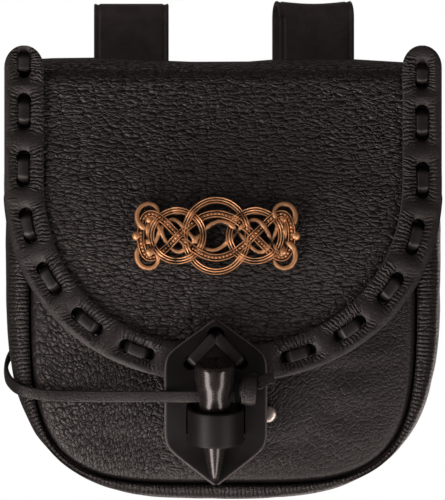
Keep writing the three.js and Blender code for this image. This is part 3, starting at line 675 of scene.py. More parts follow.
def relief_tree():
    inputs = {
        "Dent Size": "Vector",
        "Dent Depth": "Float",
        "Fold Size": "Vector",
        "Fold Depth": "Float",
        "Seed": "Float",
        "Material": "Material",
    }
    tree = GeometryTree("relief", inputs)
    spot = tree.vector("DIVIDE", tree.node("GeometryNodeInputPosition"), (MM, MM, MM))
    same = {"W": tree.input("Seed"), "Scale": 1.0}
    place = tree.vector("DIVIDE", spot, tree.input("Dent Size"))
    sockets = {"Vector": place, "Detail": 2.0, **same}
    dents = tree.node("ShaderNodeTexNoise", {"noise_dimensions": "4D"}, sockets)
    place = tree.vector("DIVIDE", spot, tree.input("Fold Size"))
    settings = {"voronoi_dimensions": "4D", "feature": "DISTANCE_TO_EDGE"}
    folds = tree.node("ShaderNodeTexVoronoi", settings, {"Vector": place, **same})
    loose = 1 - tree.attribute("calm")
    rise = (dents - 0.5) * 2 * tree.input("Dent Depth")
    sink = (1 - folds.between(0.0, 0.22)) * tree.input("Fold Depth")
    distance = (rise - sink) * loose * MM
    sockets = {0: tree.node("GeometryNodeInputNormal"), "Scale": distance}
    push = tree.node("ShaderNodeVectorMath", {"operation": "SCALE"}, sockets)
    sockets = {"Geometry": tree.input("Geometry"), "Offset": push}
    tree.end(tree.node("GeometryNodeSetPosition", inputs=sockets))
    return tree


relief = relief_tree()
print("a sheet's relief is set by:", list(relief.identifiers))


def wall(thing, thickness, edge=0.35):
    """Gives a sheet its thickness inwards, a trimmed edge in the paler edge finish, partly its own tone
    and partly a painted highlight, and a flesh side.
    """
    thing.data.materials.append(cut_edge)
    thing.data.materials.append(flesh_side)
    thick = thing.modifiers.new("wall", "SOLIDIFY")
    thick.thickness = thickness * MM
    thick.offset = -1
    thick.use_even_offset = True
    thick.material_offset_rim = 1
    thick.material_offset = 2
    apply_modifiers(thing)
    rim = thing.modifiers.new("edge", "BEVEL")
    rim.width = edge * MM
    rim.segments = 2
    rim.limit_method = "ANGLE"
    rim.angle_limit = math.radians(50)
    rim.material = 1
    return apply_modifiers(thing)


def cut(thing, tool):
    """Takes a tool's solid out of a thing, and removes the tool."""
    knife = thing.modifiers.new("cut", "BOOLEAN")
    knife.operation = "DIFFERENCE"
    knife.solver = "MANIFOLD"
    knife.object = tool
    apply_modifiers(thing)
    bpy.data.objects.remove(tool)
    return thing


# %% [markdown]
# ## Straps
# Laces, thong, keeper, belt loops and even the casting's strands are one thing: a section drawn
# along a path, which must not roll. Each path point says which way the strap's width goes there.
# The tree makes a curve of the path, sets that direction, and sweeps the section, which is closed.

# %% The strap tree and its sections


def strap_tree():
    tree = GeometryTree("strap", {"Section": "Object", "Material": "Material"})
    path = tree.node("GeometryNodeMeshToCurve", inputs={"Mesh": tree.input("Geometry")})
    sockets = {"Curve": path, "Normal": tree.attribute("across", "FLOAT_VECTOR")}
    path = tree.node("GeometryNodeSetCurveNormal", {"mode": "FREE"}, sockets)
    sockets = {"Object": tree.input("Section")}
    ring = tree.node("GeometryNodeObjectInfo", inputs=sockets, output="Geometry")
    ring = tree.node("GeometryNodeMeshToCurve", inputs={"Mesh": ring})
    sockets = {"Curve": path, "Profile Curve": ring, "Fill Caps": True}
    sockets["Scale"] = tree.attribute("fullness")
    tree.end(tree.node("GeometryNodeCurveToMesh", inputs=sockets))
    return tree


straps = strap_tree()
print("a strap is set by:", list(straps.identifiers))


def section(width, thickness, corner, dome=0.0, groove=0.0, face_steps=8):
    """A closed section, counter-clockwise: rounded corners, a domed face, a crease by each edge."""
    half = width / 2 - corner
    rise = thickness / 2 - corner
    ring = []
    for quarter, (x, y) in enumerate([(half, rise), (-half, rise), (-half, -rise), (half, -rise)]):
        for angle in np.radians(90 * quarter + np.array([0, 30, 60, 90])):
            ring.append((x + corner * math.cos(angle), y + corner * math.sin(angle)))
        if quarter == 0:
            for x in np.linspace(half, -half, face_steps + 1)[1:-1]:
                crease = groove * math.exp(-(((abs(x) - width / 2 + 1.6) / 0.4) ** 2))
                ring.append((x, thickness / 2 + dome * (1 - (x / half) ** 2) - crease))
    return ring


def strap(name, points, facing, ring, material, closed=False, fullness=1.0):
    """A strap along points. facing is the direction that its outer face looks in at each point."""
    points = np.asarray(points, float)
    before = np.roll(points, 1, 0)
    after = np.roll(points, -1, 0)
    if not closed:
        before[0] = points[0]
        after[-1] = points[-1]
    across = np.cross(np.broadcast_to(facing, points.shape), after - before)
    across /= np.linalg.norm(across, axis=-1, keepdims=True)
    count = len(points)
    edges = [(i, (i + 1) % count) for i in range(count if closed else count - 1)]
    thing = new_object(name, points, [], edges)
    set_vector(thing, "across", across)
    set_number(thing, "fullness", np.broadcast_to(fullness, count))
    outline = [(i, (i + 1) % len(ring)) for i in range(len(ring))]
    profile = new_object("section", [(x, y, 0) for x, y in ring], [], outline)
    straps.put_on(thing, Section=profile, Material=material)
    bpy.data.objects.remove(profile)
    return smooth(thing)


def run_along(points):
    """How far along a line each of its points lies."""
    return np.concatenate([[0], np.cumsum(np.linalg.norm(np.diff(points, axis=0), axis=1))])


def curve_through(points, steps):
    """Points a smooth line through a few given ones, evenly far apart (centripetal Catmull-Rom)."""
    points = np.asarray(points, float)
    ends = [2 * points[:1] - points[1:2], points, 2 * points[-1:] - points[-2:-1]]
    guide = np.vstack(ends)
    fine = []
    for p0, p1, p2, p3 in zip(guide, guide[1:], guide[2:], guide[3:]):
        t0, t1, t2 = (max(np.linalg.norm(b - a) ** 0.5, 1e-6) for a, b in ((p0, p1), (p1, p2), (p2, p3)))
        start = ((p1 - p0) / t0 - (p2 - p0) / (t0 + t1) + (p2 - p1) / t1) * t1
        end = ((p2 - p1) / t1 - (p3 - p1) / (t1 + t2) + (p3 - p2) / t2) * t1
        for t in np.linspace(0, 1, 24, endpoint=False):
            bow = (2 * t**3 - 3 * t**2) * (p1 - p2) + (t**3 - 2 * t**2 + t) * start + (t**3 - t**2) * end
            fine.append(p1 + bow)
    fine = np.vstack([fine, points[-1:]])
    reached = run_along(fine)
    stops = np.linspace(0, reached[-1], steps + 1)
    return np.stack([np.interp(stops, reached, column) for column in fine.T], -1)


def length_of(points):
    return float(np.linalg.norm(np.diff(points, axis=0), axis=1).sum())


# %% [markdown]
# ## The thong
# A narrow strip of the same hide, cut by hand. It is knotted inside the pouch, comes out through
# a slit in the left side, bows forward round the rolled seam and lies along the front to the
# horn toggle, whose bore it passes. There it is wound round itself twice and tucked, which
# leaves a lump and a short tail. The knot inside is its stop: it can't be pulled out.
# Each stop of the route is a place and the way the strip's face looks there; the third one is
# where the thong comes out.

# %% The thong's course
ROUTE = [
    ((-72.7, -14.5, -100.5), (-0.7, 0.4, 0.5)),
    ((-77.3, -16.5, -104.5), (-0.8, 0.4, 0.4)),
    ((-81.6, -19.8, -108.3), (-0.95, 0.2, 0.25)),
    ((-83.6, -25.8, -112.2), (-1, 0, 0.1)),
    ((-83.8, -32.8, -116), (-0.95, -0.25, -0.05)),
    ((-82.2, -40, -119.6), (-0.8, -0.6, -0.1)),
    ((-77.8, -46.6, -122.8), (-0.45, -0.9, -0.1)),
    ((-69, -49, -124.6), (-0.2, -1, -0.05)),
    ((-58, -51.2, -125.1), (-0.22, -1, 0)),
    ((-46, -54.6, -125.2), (-0.3, -1, 0)),
    ((-34, -59.4, -125.2), (-0.4, -1, 0)),
    ((-23, -66, -125.2), (-0.45, -1, 0)),
    ((-14, -70.8, -125.2), (-0.3, -1, 0)),
    ((-8, -72.4, -125.2), (0, -1, 0)),
    ((-2.8, -72.5, -125.2), (0, -1, 0)),
    ((4.6, -72.5, -125.2), (0, -1, 0)),
]
THONG_STEPS = 208
SLIT_STEPS = 66
THONG_WIDTH = 4.3
THONG_SECTION = section(THONG_WIDTH, 1.4, 0.4, 0.12)
THONG_ROOM = section(5.0, 2.1, 0.5)
WRAP_PITCH = 3.1
KNOT_AT = (9.6, -72.3, -122.8)
KNOT_DEPTH = 3.1
KNOT_HEIGHT = 5.1
TAIL = [(13.6, -73.4, -120.4), (16.2, -72.6, -118.6), (19.4, -71.4, -118.0)]
ROOT_DEPTH = 3.0
ROOT_HEIGHT = 1.9

course = curve_through([place for place, facing in ROUTE], THONG_STEPS)
stops = np.linspace(0, 1, THONG_STEPS + 1)
marks = [np.argmin(np.linalg.norm(course - place, axis=1)) / THONG_STEPS for place, facing in ROUTE]
route_facing = np.array([facing for place, facing in ROUTE])
course_facing = np.stack([np.interp(stops, marks, column) for column in route_facing.T], -1)
print("thong from root to knot, mm:", round(length_of(course), 1))


def knot_course(centre, axis, side, up, wraps, tail):
    """A strip's middle line, wound tight round itself: one turn inside, then wraps side by side."""
    turns = np.linspace(0, 1 + wraps, 30 * (1 + wraps))
    angle = 2 * math.pi * turns + math.pi / 2
    out = np.interp(turns, [0, 1, 1.4, 1 + wraps], [0.38, 0.62, 0.88, 1.0])
    shift = np.interp(turns, [0, 1, 1 + wraps], [0.0, -0.5, 0.5]) * WRAP_PITCH * (wraps - 1)
    radial = np.outer(np.cos(angle), side) + np.outer(np.sin(angle), up)
    points = np.asarray(centre) + radial * out[:, None] + np.outer(shift, axis)
    facing = radial / np.linalg.norm(radial, axis=1, keepdims=True)
    if len(tail):
        start = points[-1] + (points[-1] - points[-2]) * 2
        drawn = curve_through([start, *tail], 16)
        points = np.vstack([points, drawn])
        facing = np.vstack([facing, np.tile((0.1, -1, 0.15), (len(drawn), 1))])
    return points, facing


thong = strap("thong_strip", course, course_facing, THONG_SECTION, thong_hide)
wound = (KNOT_AT, (1, 0, 0), (0, -KNOT_DEPTH, 0), (0, 0, KNOT_HEIGHT), 2, TAIL)
knot_points, knot_facing = knot_course(*wound)
knot = strap("thong_front_knot", knot_points, knot_facing, THONG_SECTION, thong_hide)
root_axis = (course[4] - course[0]) / np.linalg.norm(course[4] - course[0])
root_side = np.cross(root_axis, course_facing[0])
root_side /= np.linalg.norm(root_side)
root_up = np.cross(root_axis, root_side) * ROOT_HEIGHT
stop_points, stop_facing = knot_course(course[5], root_axis, root_side * ROOT_DEPTH, root_up, 1, [])
stopper = strap("thong_root_knot", stop_points, stop_facing, THONG_SECTION, thong_hide)

hand_over(thong, ["thong"])
hand_over(knot, ["thong_knot"])
hand_over(stopper, ["thong_stopper"])

# %% [markdown]
# ## Cutting holes
# Lace holes, rivet holes and slots are punched through the finished sheets, as in the workshop.
# A punch is a closed rod; all the rods for one sheet go into one mesh and are taken out at once.

# %% Punches


def punches(places, sides=20, squareness=1.0):
    """Rods in one mesh. Each place is start, end, and the two half widths as vectors."""
    angles = np.linspace(0, 2 * math.pi, sides, endpoint=False)
    curve = [np.sign(f(angles)) * np.abs(f(angles)) ** squareness for f in (np.cos, np.sin)]
    points = []
    faces = []
    for start, end, across, up in places:
        ring = np.outer(curve[0], across) + np.outer(curve[1], up)
        base = len(points)
        points += list(ring + start) + list(ring + end)
        first = [base + i for i in range(sides)]
        last = [base + sides + i for i in range(sides)]
        faces += [first[::-1], last]
        faces += [[first[i - 1], first[i], last[i], last[i - 1]] for i in range(sides)]
    return new_object("punches", points, faces)


def across_of(direction):
    """Two directions square to a third, which together turn counter-clockwise round it."""
    direction = np.asarray(direction, float) / np.linalg.norm(direction)
    side = np.cross((0.0, 0.0, 1.0), direction)
    side /= np.linalg.norm(side)
    return direction, side, np.cross(direction, side)


def round_punch(middle, direction, reach, radius):
    direction, side, up = across_of(direction)
    middle = np.asarray(middle, float)
    return middle - direction * reach, middle + direction * reach, side * radius, up * radius


# %% [markdown]
# ## The lace line
# A flat lace holds the border to the flap in long stitches, seven on each side. They are counted
# from the flap's tip along the border's middle. The same distances place the holes, the lace and
# the way the border puckers at each stitch. At the tip, three holes let the closure plate's lace
# through flap, border and plate.

# %% Stitches along the border, and the plate's holes
PITCH = 22.1
FIRST_STITCH = {-1: 33.8, 1: 29.3}
STITCHES = 7
LAST_PITCH = 18.8
HOLE_REACH = 4.5
LAST_REACH = 3.1
HOLE_RADIUS = 2.75
TOP_HOLE_RADIUS = 2.1
TUCKED_ABOVE = 1.5
CLOSURE_X = -2.8
PLATE_HOLES = [(0.0, -101.6, 3.4), (-9.7, -112.1, 2.8), (9.7, -112.1, 2.8)]

fine_turns = np.linspace(0, 1, 801)
line_x, line_z = outline_point(LACE_LINE, fine_turns)
line_length = run_along(np.stack([line_x, line_z], -1))


def stitches(side):
    middles = FIRST_STITCH[side] + PITCH * np.arange(STITCHES)
    middles[-1] += LAST_PITCH - PITCH
    return middles


def on_lace_line(side, distance):
    turn = np.interp(distance, line_length, fine_turns)
    x, z = outline_point(LACE_LINE, turn)
    return side * x, z


all_stitches = np.concatenate([-stitches(-1)[::-1], stitches(1)])
all_reaches = np.full(2 * STITCHES, HOLE_REACH)
all_reaches[[0, -1]] = LAST_REACH


def stitch_offset(along):
    """How far each place is from its nearest stitch's middle, as if all stitches were as long."""
    shorter = HOLE_REACH - all_reaches
    nearest = np.argmin(np.abs(along[:, None] - all_stitches) + shorter, axis=1)
    offset = along - all_stitches[nearest]
    return offset + np.clip(offset / all_reaches[nearest], -1, 1) * shorter[nearest]


print("stitches from the tip, mm:", np.round(all_stitches, 1).tolist())


def stitch_punches():
    places = []
    for side in (-1, 1):
        reaches = [HOLE_REACH] * (STITCHES - 1) + [LAST_REACH]
        for middle, reach in zip(stitches(side), reaches):
            for distance in (middle - reach, middle + reach):
                x, z = on_lace_line(side, distance)
                direction = outward(flap_face, x, z)
                radius = HOLE_RADIUS if z < TUCKED_ABOVE else TOP_HOLE_RADIUS
                places.append(round_punch(above(flap_face, x, z, 0), direction, 7, radius))
    return places


def plate_lace_punches():
    return [round_punch((CLOSURE_X + x, -62, z), BACKWARDS, 13, radius) for x, z, radius in PLATE_HOLES]


# %% [markdown]
# ## The front panel
# One piece of hide, cut to a rounded U and pushed out by what the pouch holds. Near its seam it
# turns back into the groove; further in it lies in soft dents, with long creases at its lower left
# where it was pressed. Two slots let the keeper's ends through, and two holes take its rivets.

# %% Front panel
KEEPER_LEAN = math.radians(14)
KEEPER_OUT = np.array([0, -math.cos(KEEPER_LEAN), -math.sin(KEEPER_LEAN)])
KEEPER_UP = np.array([0, -math.sin(KEEPER_LEAN), math.cos(KEEPER_LEAN)])
KEEPER_ROOT = np.array([CLOSURE_X, -51, -132])
KEEPER_RADIUS = 9.6
RIVET_X = (-18.6, 17.4)


def seam_distance(outline, x, z):
    """How far a point lies inside an outline, in millimetres, near enough to blend with."""
    half_size = 0.5 * (outline.half_width + outline.drop)
    return (1 - np.minimum(reach_in(outline, x, z), 1)) * half_size


def stretched_lay(x, z):
    """The grain's lay: drawn down and to the right at the lower left, and finer on the right."""
    drawn = smoothstep(-x, 22, 62)
    finer = 0.25 * smoothstep(x, -20, 60)
    lay_x = (x + 0.35 * (z + 90) * drawn) * (1 + finer + 0.1 * drawn)
    return np.stack([lay_x, z * (1 + finer - 0.16 * drawn)], -1)


def slot_punches(width, height, reach_in, reach_out):
    places = []
    for side in (-1, 1):
        middle = KEEPER_ROOT + (side * (KEEPER_RADIUS + 0.1), 0, 0)
        start = middle - KEEPER_OUT * reach_in
        end = middle + KEEPER_OUT * reach_out
        places.append((start, end, np.array([1, 0, 0]) * width / 2, KEEPER_UP * height / 2))
    return places


def keeper_rivet_punches(radius):
    return [round_punch((x, -50, KEEPER_ROOT[2]), KEEPER_OUT, 12, radius) for x in RIVET_X]


def front_panel():
    x, z = u_grid(PANEL, 156, 92, 56)
    inside = seam_distance(PANEL, x, z)
    y = panel_face(x, z) + 1.5 * (1 - smoothstep(inside, 0, 2.4)) ** 1.5
    thing = new_sheet("front_sheet", x, y, z)
    set_map(thing, "grain", stretched_lay(x, z))
    set_number(thing, "coarse", lerp(0.3, 0.85, smoothstep(-x, -25, 45)) * smoothstep(inside, -3, 9))
    free = smoothstep(inside, 3, 14) * smoothstep(-z, 14, 40)
    from_keeper = np.hypot(np.maximum(0, np.abs(x) - 22), z + 129)
    set_number(thing, "calm", 1 - free * smoothstep(from_keeper, 7, 16))
    folds = {"Fold_Size": (38.0, 60.0, 30.0), "Fold_Depth": 0.6, "Seed": 3.0}
    relief.put_on(thing, Dent_Size=(30.0, 40.0, 18.0), Dent_Depth=0.9, **folds, Material=panel_hide)
    wall(thing, WALL)
    cut(thing, punches(slot_punches(5.2, 15.0, 9, 6), 24, 0.35))
    cut(thing, punches(keeper_rivet_punches(1.85)))
    return hand_over(smooth(thing), ["front_panel"])


front_panel()

# %% [markdown]
# ## The gusset
# A long strip of softer hide runs from one side of the mouth round the bottom to the other. Its
# back edge is sewn to the back; in front it rolls over outwards and is gathered into the seam,
# which is why the roll is ribbed all along. It bulges, so its widest line is behind the roll.

# %% Gusset
GUSSET_SECTION = [(0, 0.68), (0.08, 0.84), (0.25, 0.95), (0.55, 1), (0.82, 0.96), (0.96, 0.8)]
GUSSET_SECTION += [(1.028, 0.5), (1.032, 0.18), (1, 0.04)]
BACK_TO_SEAM = 34.0
SEAM_TO_SWELL = SWELL.half_width - SEAM.half_width
ROLL_WIDTH = 7.0
ROLL_VALLEY = 0.2


def gusset():
    scale = np.array([BACK_TO_SEAM, SEAM_TO_SWELL])
    fine = curve_through(np.array(GUSSET_SECTION) * scale, 400)
    reached = np.linspace(0, length_of(fine), 401)
    spread = np.linspace(0, 1, 45)
    stops = reached[-1] * (0.35 * spread + 0.65 * (1 - (1 - spread) ** 1.6))
    depth, swelling = (np.interp(stops, reached, column)[:, None] for column in (fine / scale).T)
    turns = np.linspace(-1, 1, 521)[None, :]
    edge_x, edge_z = outline_point(SEAM, turns)
    wide_x, wide_z = outline_point(SWELL, turns)
    x = lerp(edge_x, wide_x, swelling)
    z = lerp(edge_z, wide_z, swelling)
    from_seam = reached[-1] - stops
    valley = ROLL_VALLEY * np.exp(-((from_seam[:, None] - ROLL_WIDTH) ** 2))
    y = lerp(BACK_Y - WALL - GAP, panel_face(edge_x, edge_z), depth) + valley
    thing = new_sheet("gusset_sheet", x, y, z)
    around = run_along(np.stack([edge_x[0], edge_z[0]], -1))
    run_x, run_z = np.gradient(edge_x[0], around), np.gradient(edge_z[0], around)
    around = around + (x - edge_x) * run_x + (z - edge_z) * run_z
    set_map(thing, "grain", np.stack(np.broadcast_arrays(around, from_seam[:, None]), -1))
    calm = np.maximum(1 - smoothstep(from_seam, 3, 12), 1 - smoothstep(stops, 3, 9))
    set_number(thing, "calm", np.broadcast_to(calm[:, None], x.shape))
    folds = {"Fold_Size": (34.0, 26.0, 30.0), "Fold_Depth": 0.3, "Seed": 8.0}
    relief.put_on(thing, Dent_Size=(26.0, 18.0, 26.0), Dent_Depth=0.35, **folds, Material=gusset_hide)
    wall(thing, WALL)
    inside = slice(SLIT_STEPS)
    slit = strap("slit", course[inside], course_facing[inside], THONG_ROOM, flesh_side)
    cut(thing, slit)
    return hand_over(smooth(thing), ["gusset"])


gusset()

# %% [markdown]
# ## The back and the flap
# The back runs on over the top as the flap, in one piece of hide: up behind, over the fold, and
# down in front. The fold isn't quite straight; it sags where the loops pull on the back. The flap
# is held to the lace line all round, so its dents fade out towards the border.

# %% Back and flap
FLAP_COLUMNS = 168
SAG = [(-84, 1.2), (-66, 0.2), (-50, 0.0), (-30, 0.9), (-12, 1.6)]
SAG += [(10, 1.5), (20, 0.7), (50, 0.6), (70, 1.8), (84, 2.2)]
LOOP_RIVET_X = (-43.6, -27.6, 27.98, 43.98)
LOOP_RIVET_Z = -38.5
ORNAMENT_AT = np.array([-2.6, -63.6])
POST_REACH = 25


def fold_over():
    """Rows over the fold, from the flap's top to the back's."""
    steps = np.linspace(0, 2, 41)[1:-1, None]
    half_width = lerp(FLAP.half_width, BACK.half_width, steps / 2)
    x = np.linspace(-1, 1, FLAP_COLUMNS + 1)[None, :] * half_width
    to_back = steps > 1
    end_y = np.where(to_back, BACK_Y, flap_face(x, np.full_like(x, FLAP.top)))
    end_z = np.where(to_back, BACK.top, FLAP.top)
    y = lerp(FOLD_TOP[0], end_y, np.abs(np.cos(steps * math.pi / 2)))
    up = np.sin(steps * math.pi / 2)
    top = FOLD_TOP[1] - np.interp(x, *np.array(SAG).T) * up**3
    return x, y, lerp(end_z, top, up)


def back_and_flap():
    flap_x, flap_z = u_grid(FLAP, FLAP_COLUMNS, 78, 34)
    back_x, back_z = (grid[::-1] for grid in u_grid(BACK, FLAP_COLUMNS, 44, 36))
    fold_x, fold_y, fold_z = fold_over()
    x = np.vstack([flap_x, fold_x, back_x])
    z = np.vstack([flap_z, fold_z, back_z])
    y = np.vstack([flap_face(flap_x, flap_z), fold_y, np.full_like(back_x, BACK_Y)])
    thing = new_sheet("back_flap_sheet", x, y, z)
    middle = FLAP_COLUMNS // 2
    down = run_along(np.stack([y[:, middle], z[:, middle]], -1))
    rows = len(flap_x)
    beyond = (down[rows:] - down[rows - 1] + FLAP.top)[:, None]
    lay_z = np.vstack([flap_z, np.broadcast_to(beyond, x[rows:].shape)])
    set_map(thing, "grain", np.stack([x, lay_z], -1))
    on_flap = smoothstep(seam_distance(FLAP, x, z), 14, 24) * smoothstep(-z, 4, 20)
    on_back = 0.7 * smoothstep(seam_distance(BACK, x, z), 8, 20) * smoothstep(-z, 52, 64)
    front = np.arange(len(x))[:, None] < rows
    set_number(thing, "calm", 1 - np.where(front, on_flap, on_back))
    # Painted light: the flap is painted darker towards its top and its right side, a painted shade, and
    # is glossier there. The back takes one even value.
    painted_light_and_dullness = lerp(0.3, 1.0, smoothstep(-z, -5, 70)) * lerp(1.0, 0.8, smoothstep(x, -10, 50))
    set_number(thing, "painted_light_and_dullness", np.where(front, painted_light_and_dullness, 0.75))
    folds = {"Fold_Size": (46.0, 60.0, 26.0), "Fold_Depth": 0.45, "Seed": 5.0}
    relief.put_on(thing, Dent_Size=(34.0, 60.0, 22.0), Dent_Depth=0.9, **folds, Material=flap_hide)
    wall(thing, WALL)
    holes = stitch_punches() + plate_lace_punches()
    rivet_holes = [round_punch((x, -6, LOOP_RIVET_Z), BACKWARDS, 8, 2.25) for x in LOOP_RIVET_X]
    post_x = [ORNAMENT_AT[0] + side * POST_REACH for side in (-1, 1)]
    posts = [round_punch((x, -56, ORNAMENT_AT[1]), BACKWARDS, 8, 1.75) for x in post_x]
    cut(thing, punches(holes + rivet_holes + posts))
    return hand_over(smooth(thing), ["back_and_flap"])


back_and_flap()

# %% [markdown]
# ## The border
# A second strip of the same hide follows the flap's edge, and stands a little past the fold with
# rounded ends. The lace draws it in: under a stitch it is pinched down, its holes are pulled into
# ovals, and between two stitches it swells into a pillow.

# %% Border strip
BORDER_END = 8.5
BORDER_HEIGHT = GAP + WALL
BORDER_WIDTH = 15.5
FACE_ROWS = 27


def border_relief(along, across):
    """How far the border's face stands out or in, by the distances to the nearest stitch's middle."""
    free = smoothstep(np.abs(along), 6.5, 10.8)
    pillow = 0.55 * free * np.clip(1 - (np.abs(across) / 8.2) ** 2.4, 0, 1)
    pinch = -1.0 * (1 - smoothstep(np.abs(along), 5.5, 8.5)) * np.exp(-((across / 3.4) ** 2))
    dip = -0.7 * np.exp(-((np.abs(along) - 5.6) ** 2 + across**2) / 7.0)
    near = 1 - smoothstep(np.abs(along), 5, 9)
    shoulder = 0.45 * near * np.exp(-(((np.abs(across) - 5.6) / 1.8) ** 2))
    return pillow + pinch + dip + shoulder


def border_rows():
    """The border's face in rows from its outer to its inner edge, and where each point is on it."""
    end_turns = np.linspace(0.93, 1, 26)
    turns = np.concatenate([-end_turns[::-1], np.linspace(-0.93, 0.93, 700)[1:-1], end_turns])
    lace_x, lace_z = outline_point(LACE_LINE, turns)
    along = np.sign(turns) * np.interp(np.abs(turns), fine_turns, line_length)
    face_parts = 0.5 - 0.5 * np.cos(np.linspace(0, math.pi, FACE_ROWS))
    face_parts = lerp(np.linspace(0, 1, FACE_ROWS), face_parts, 0.35)
    centre_x, _ = outline_point(outline_between(BORDER_INNER, BORDER_OUTER, 0.5), turns)
    rows = []
    for part in face_parts[::-1]:
        inner_x, edge_z = outline_point(outline_between(BORDER_INNER, BORDER_OUTER, part), turns)
        past = np.maximum(0, edge_z - (BORDER_OUTER.top - BORDER_END)) / (BORDER_END * 1.01)
        rows.append((lerp(centre_x, inner_x, np.sqrt(1 - past**2)), edge_z))
    x, z = (np.array(column) for column in zip(*rows))
    across = np.where(face_parts[::-1, None] > 0.5, 1, -1) * np.hypot(x - lace_x, z - lace_z)
    from_edge = np.minimum(face_parts, 1 - face_parts)[::-1, None] * BORDER_WIDTH
    return x, z, along, across, from_edge


def border_strip():
    x, z, along, across, from_edge = border_rows()
    offset = stitch_offset(along)
    bumps = border_relief(offset, across)
    bumps = bumps * smoothstep(from_edge, 0.3, 2.6)
    rounding = 0.4 * (1 - np.clip(from_edge / 1.1, 0, 1)) ** 2
    face = above(flap_face, x, z, BORDER_HEIGHT + bumps - rounding)
    few = slice(None, None, -(FACE_ROWS // 2))
    under = above(flap_face, x[few], z[few], GAP)
    side = lerp(face[-1:], under[:1], 0.5)
    far_side = lerp(under[-1:], face[:1], 0.5)
    points = np.concatenate([face, side, under, far_side])
    ring, columns = points.shape[:2]
    grid = grid_faces(ring, columns)
    last = (ring - 1) * columns
    last_row = [[last + c, last + c + 1, c + 1, c] for c in range(columns - 1)]
    caps = [[r * columns for r in range(ring)], [r * columns + columns - 1 for r in range(ring)][::-1]]
    thing = new_object("border_band", points.reshape(-1, 3), grid + last_row + caps)
    full = np.concatenate([across, across[-1:], across[few], across[:1]])
    for label, distance in (("grain", along), ("stitch", offset)):
        set_map(thing, label, np.stack([np.broadcast_to(distance, full.shape), full], -1))
    thing.data.materials.append(border_hide)
    thing.data.materials.append(cut_edge)
    edge_faces = np.zeros(len(thing.data.polygons), int)
    row_of = np.arange((ring - 1) * (columns - 1)) // (columns - 1)
    edge_faces[: len(row_of)] = np.isin(row_of, [FACE_ROWS - 1, FACE_ROWS, ring - 2])
    edge_faces[len(row_of) :] = 1
    thing.data.polygons.foreach_set("material_index", edge_faces)
    cut(thing, punches(stitch_punches() + plate_lace_punches()))
    return hand_over(smooth(thing), ["border_strip"])


border_strip()

# %% [markdown]
# ## The laces
# Each side has one flat lace. It shows as a bar between two holes, sinks into the holes at both
# ends, and runs on behind the flap to the next stitch. Its face is a little domed by the pull.

# %% Border laces
LACE_SECTION = section(4.2, 1.3, 0.4, 0.22)
LACE_HALF = 0.65
LACE_SUNK = 1.15


def under_flap(x, z):
    inward = -outward(flap_face, x, z)
    lean = -np.sum(inward * outward(folded_face, x, z), -1)
    depth = (WALL + GAP + LACE_HALF) / lean + np.where(z > FLAP.top, 0.5, 0)
    return np.stack([x, folded_face(x, z), z], -1) + inward * depth[..., None]


def hidden_run(x, z):
    tucked = above(flap_face, x, z, -LACE_HALF)
    return np.where((z > TUCKED_ABOVE)[..., None], tucked, under_flap(x, z))


def border_lace(side):
    middles = stitches(side)
    ends = middles[0] - HOLE_REACH - 3, middles[-1] + LAST_REACH + 3.2
    distance = np.linspace(*ends, 640)
    x, z = on_lace_line(side, distance)
    off = np.abs(stitch_offset(side * distance))
    shown = 1 - smoothstep(off, HOLE_REACH - 2.1, HOLE_REACH + 1.4)
    over = above(flap_face, x, z, BORDER_HEIGHT + GAP + LACE_HALF - LACE_SUNK)
    points = lerp(hidden_run(x, z), over, shown[:, None])
    name = "left" if side < 0 else "right"
    thing = strap(f"lace_{name}", points, outward(flap_face, x, z), LACE_SECTION, lace_leather)
    return hand_over(thing, [f"border_lace_{name}"])


border_lace(-1)
border_lace(1)

# %% [markdown]
# ## The closure plate
# A long hexagon of thick, smooth leather hangs from the flap's tip by a lace through three holes.
# Its edges are bevelled and rubbed, and the bevel is painted paler: partly the edge's own tone, partly a
# painted highlight. Low down it has two slots for the keeper, and it follows the panel's curve behind
# it.

# %% Plate
PLATE_TOP = -95.7
PLATE_BOTTOM = -159.2
PLATE_HALF = 19.8
PLATE_THICK = 3.0
PLATE_BEVEL = 0.9


def plate_back(z):
    return -62.3 + 6.4 * smoothstep(-np.asarray(z, float), 117, 150)


def plate_face(z):
    return plate_back(z) - PLATE_THICK


def plate_half_width(z):
    pointed = np.minimum(1.2 + (PLATE_TOP - z) * 1.37, 1.2 + (z - PLATE_BOTTOM) * 1.28)
    return (pointed**-10 + PLATE_HALF**-10) ** (-1 / 10)


def hex_plate():
    levels = np.linspace(PLATE_BOTTOM, PLATE_TOP, 101)
    spread = np.linspace(-1, 1, 57)
    z, across = np.meshgrid(levels, lerp(spread, np.sin(spread * math.pi / 2), 0.85), indexing="ij")
    half_width = plate_half_width(z)
    x = CLOSURE_X + across * half_width
    slant = np.gradient(half_width[:, 0], levels)[:, None]
    from_edge = (1 - np.abs(across)) * half_width / np.hypot(1, slant)
    bevel = 0.5 * (1 - np.clip(from_edge / PLATE_BEVEL, 0, 1)) ** 1.5
    crown = 0.35 * (1 - across**2)
    near_hole = 0
    for hole_x, hole_z, radius in PLATE_HOLES:
        off = np.hypot(x - CLOSURE_X - hole_x, z - hole_z) / (1.5 * radius)
        near_hole = near_hole + np.exp(-(off**2))
    y = plate_face(z) - crown + 0.35 * near_hole + bevel
    thing = new_sheet("closure_plate", x, y, z)
    thing.data.materials.append(plate_leather)
    # The faces along the bevel take the paler edge finish: partly the edge's own tone, partly a painted
    # highlight.
    pale_edge_and_highlight_faces = (from_edge[:-1, :-1] + from_edge[1:, 1:]) / 2 < 0.55 * PLATE_BEVEL
    thing.data.polygons.foreach_set("material_index", pale_edge_and_highlight_faces.astype(int).ravel())
    wall(thing, PLATE_THICK, 0.7)
    cut(thing, punches(plate_lace_punches()))
    cut(thing, punches(slot_punches(3.4, 15.2, 12, 40), 24, 0.35))
    return hand_over(smooth(thing), ["hex_plate"])


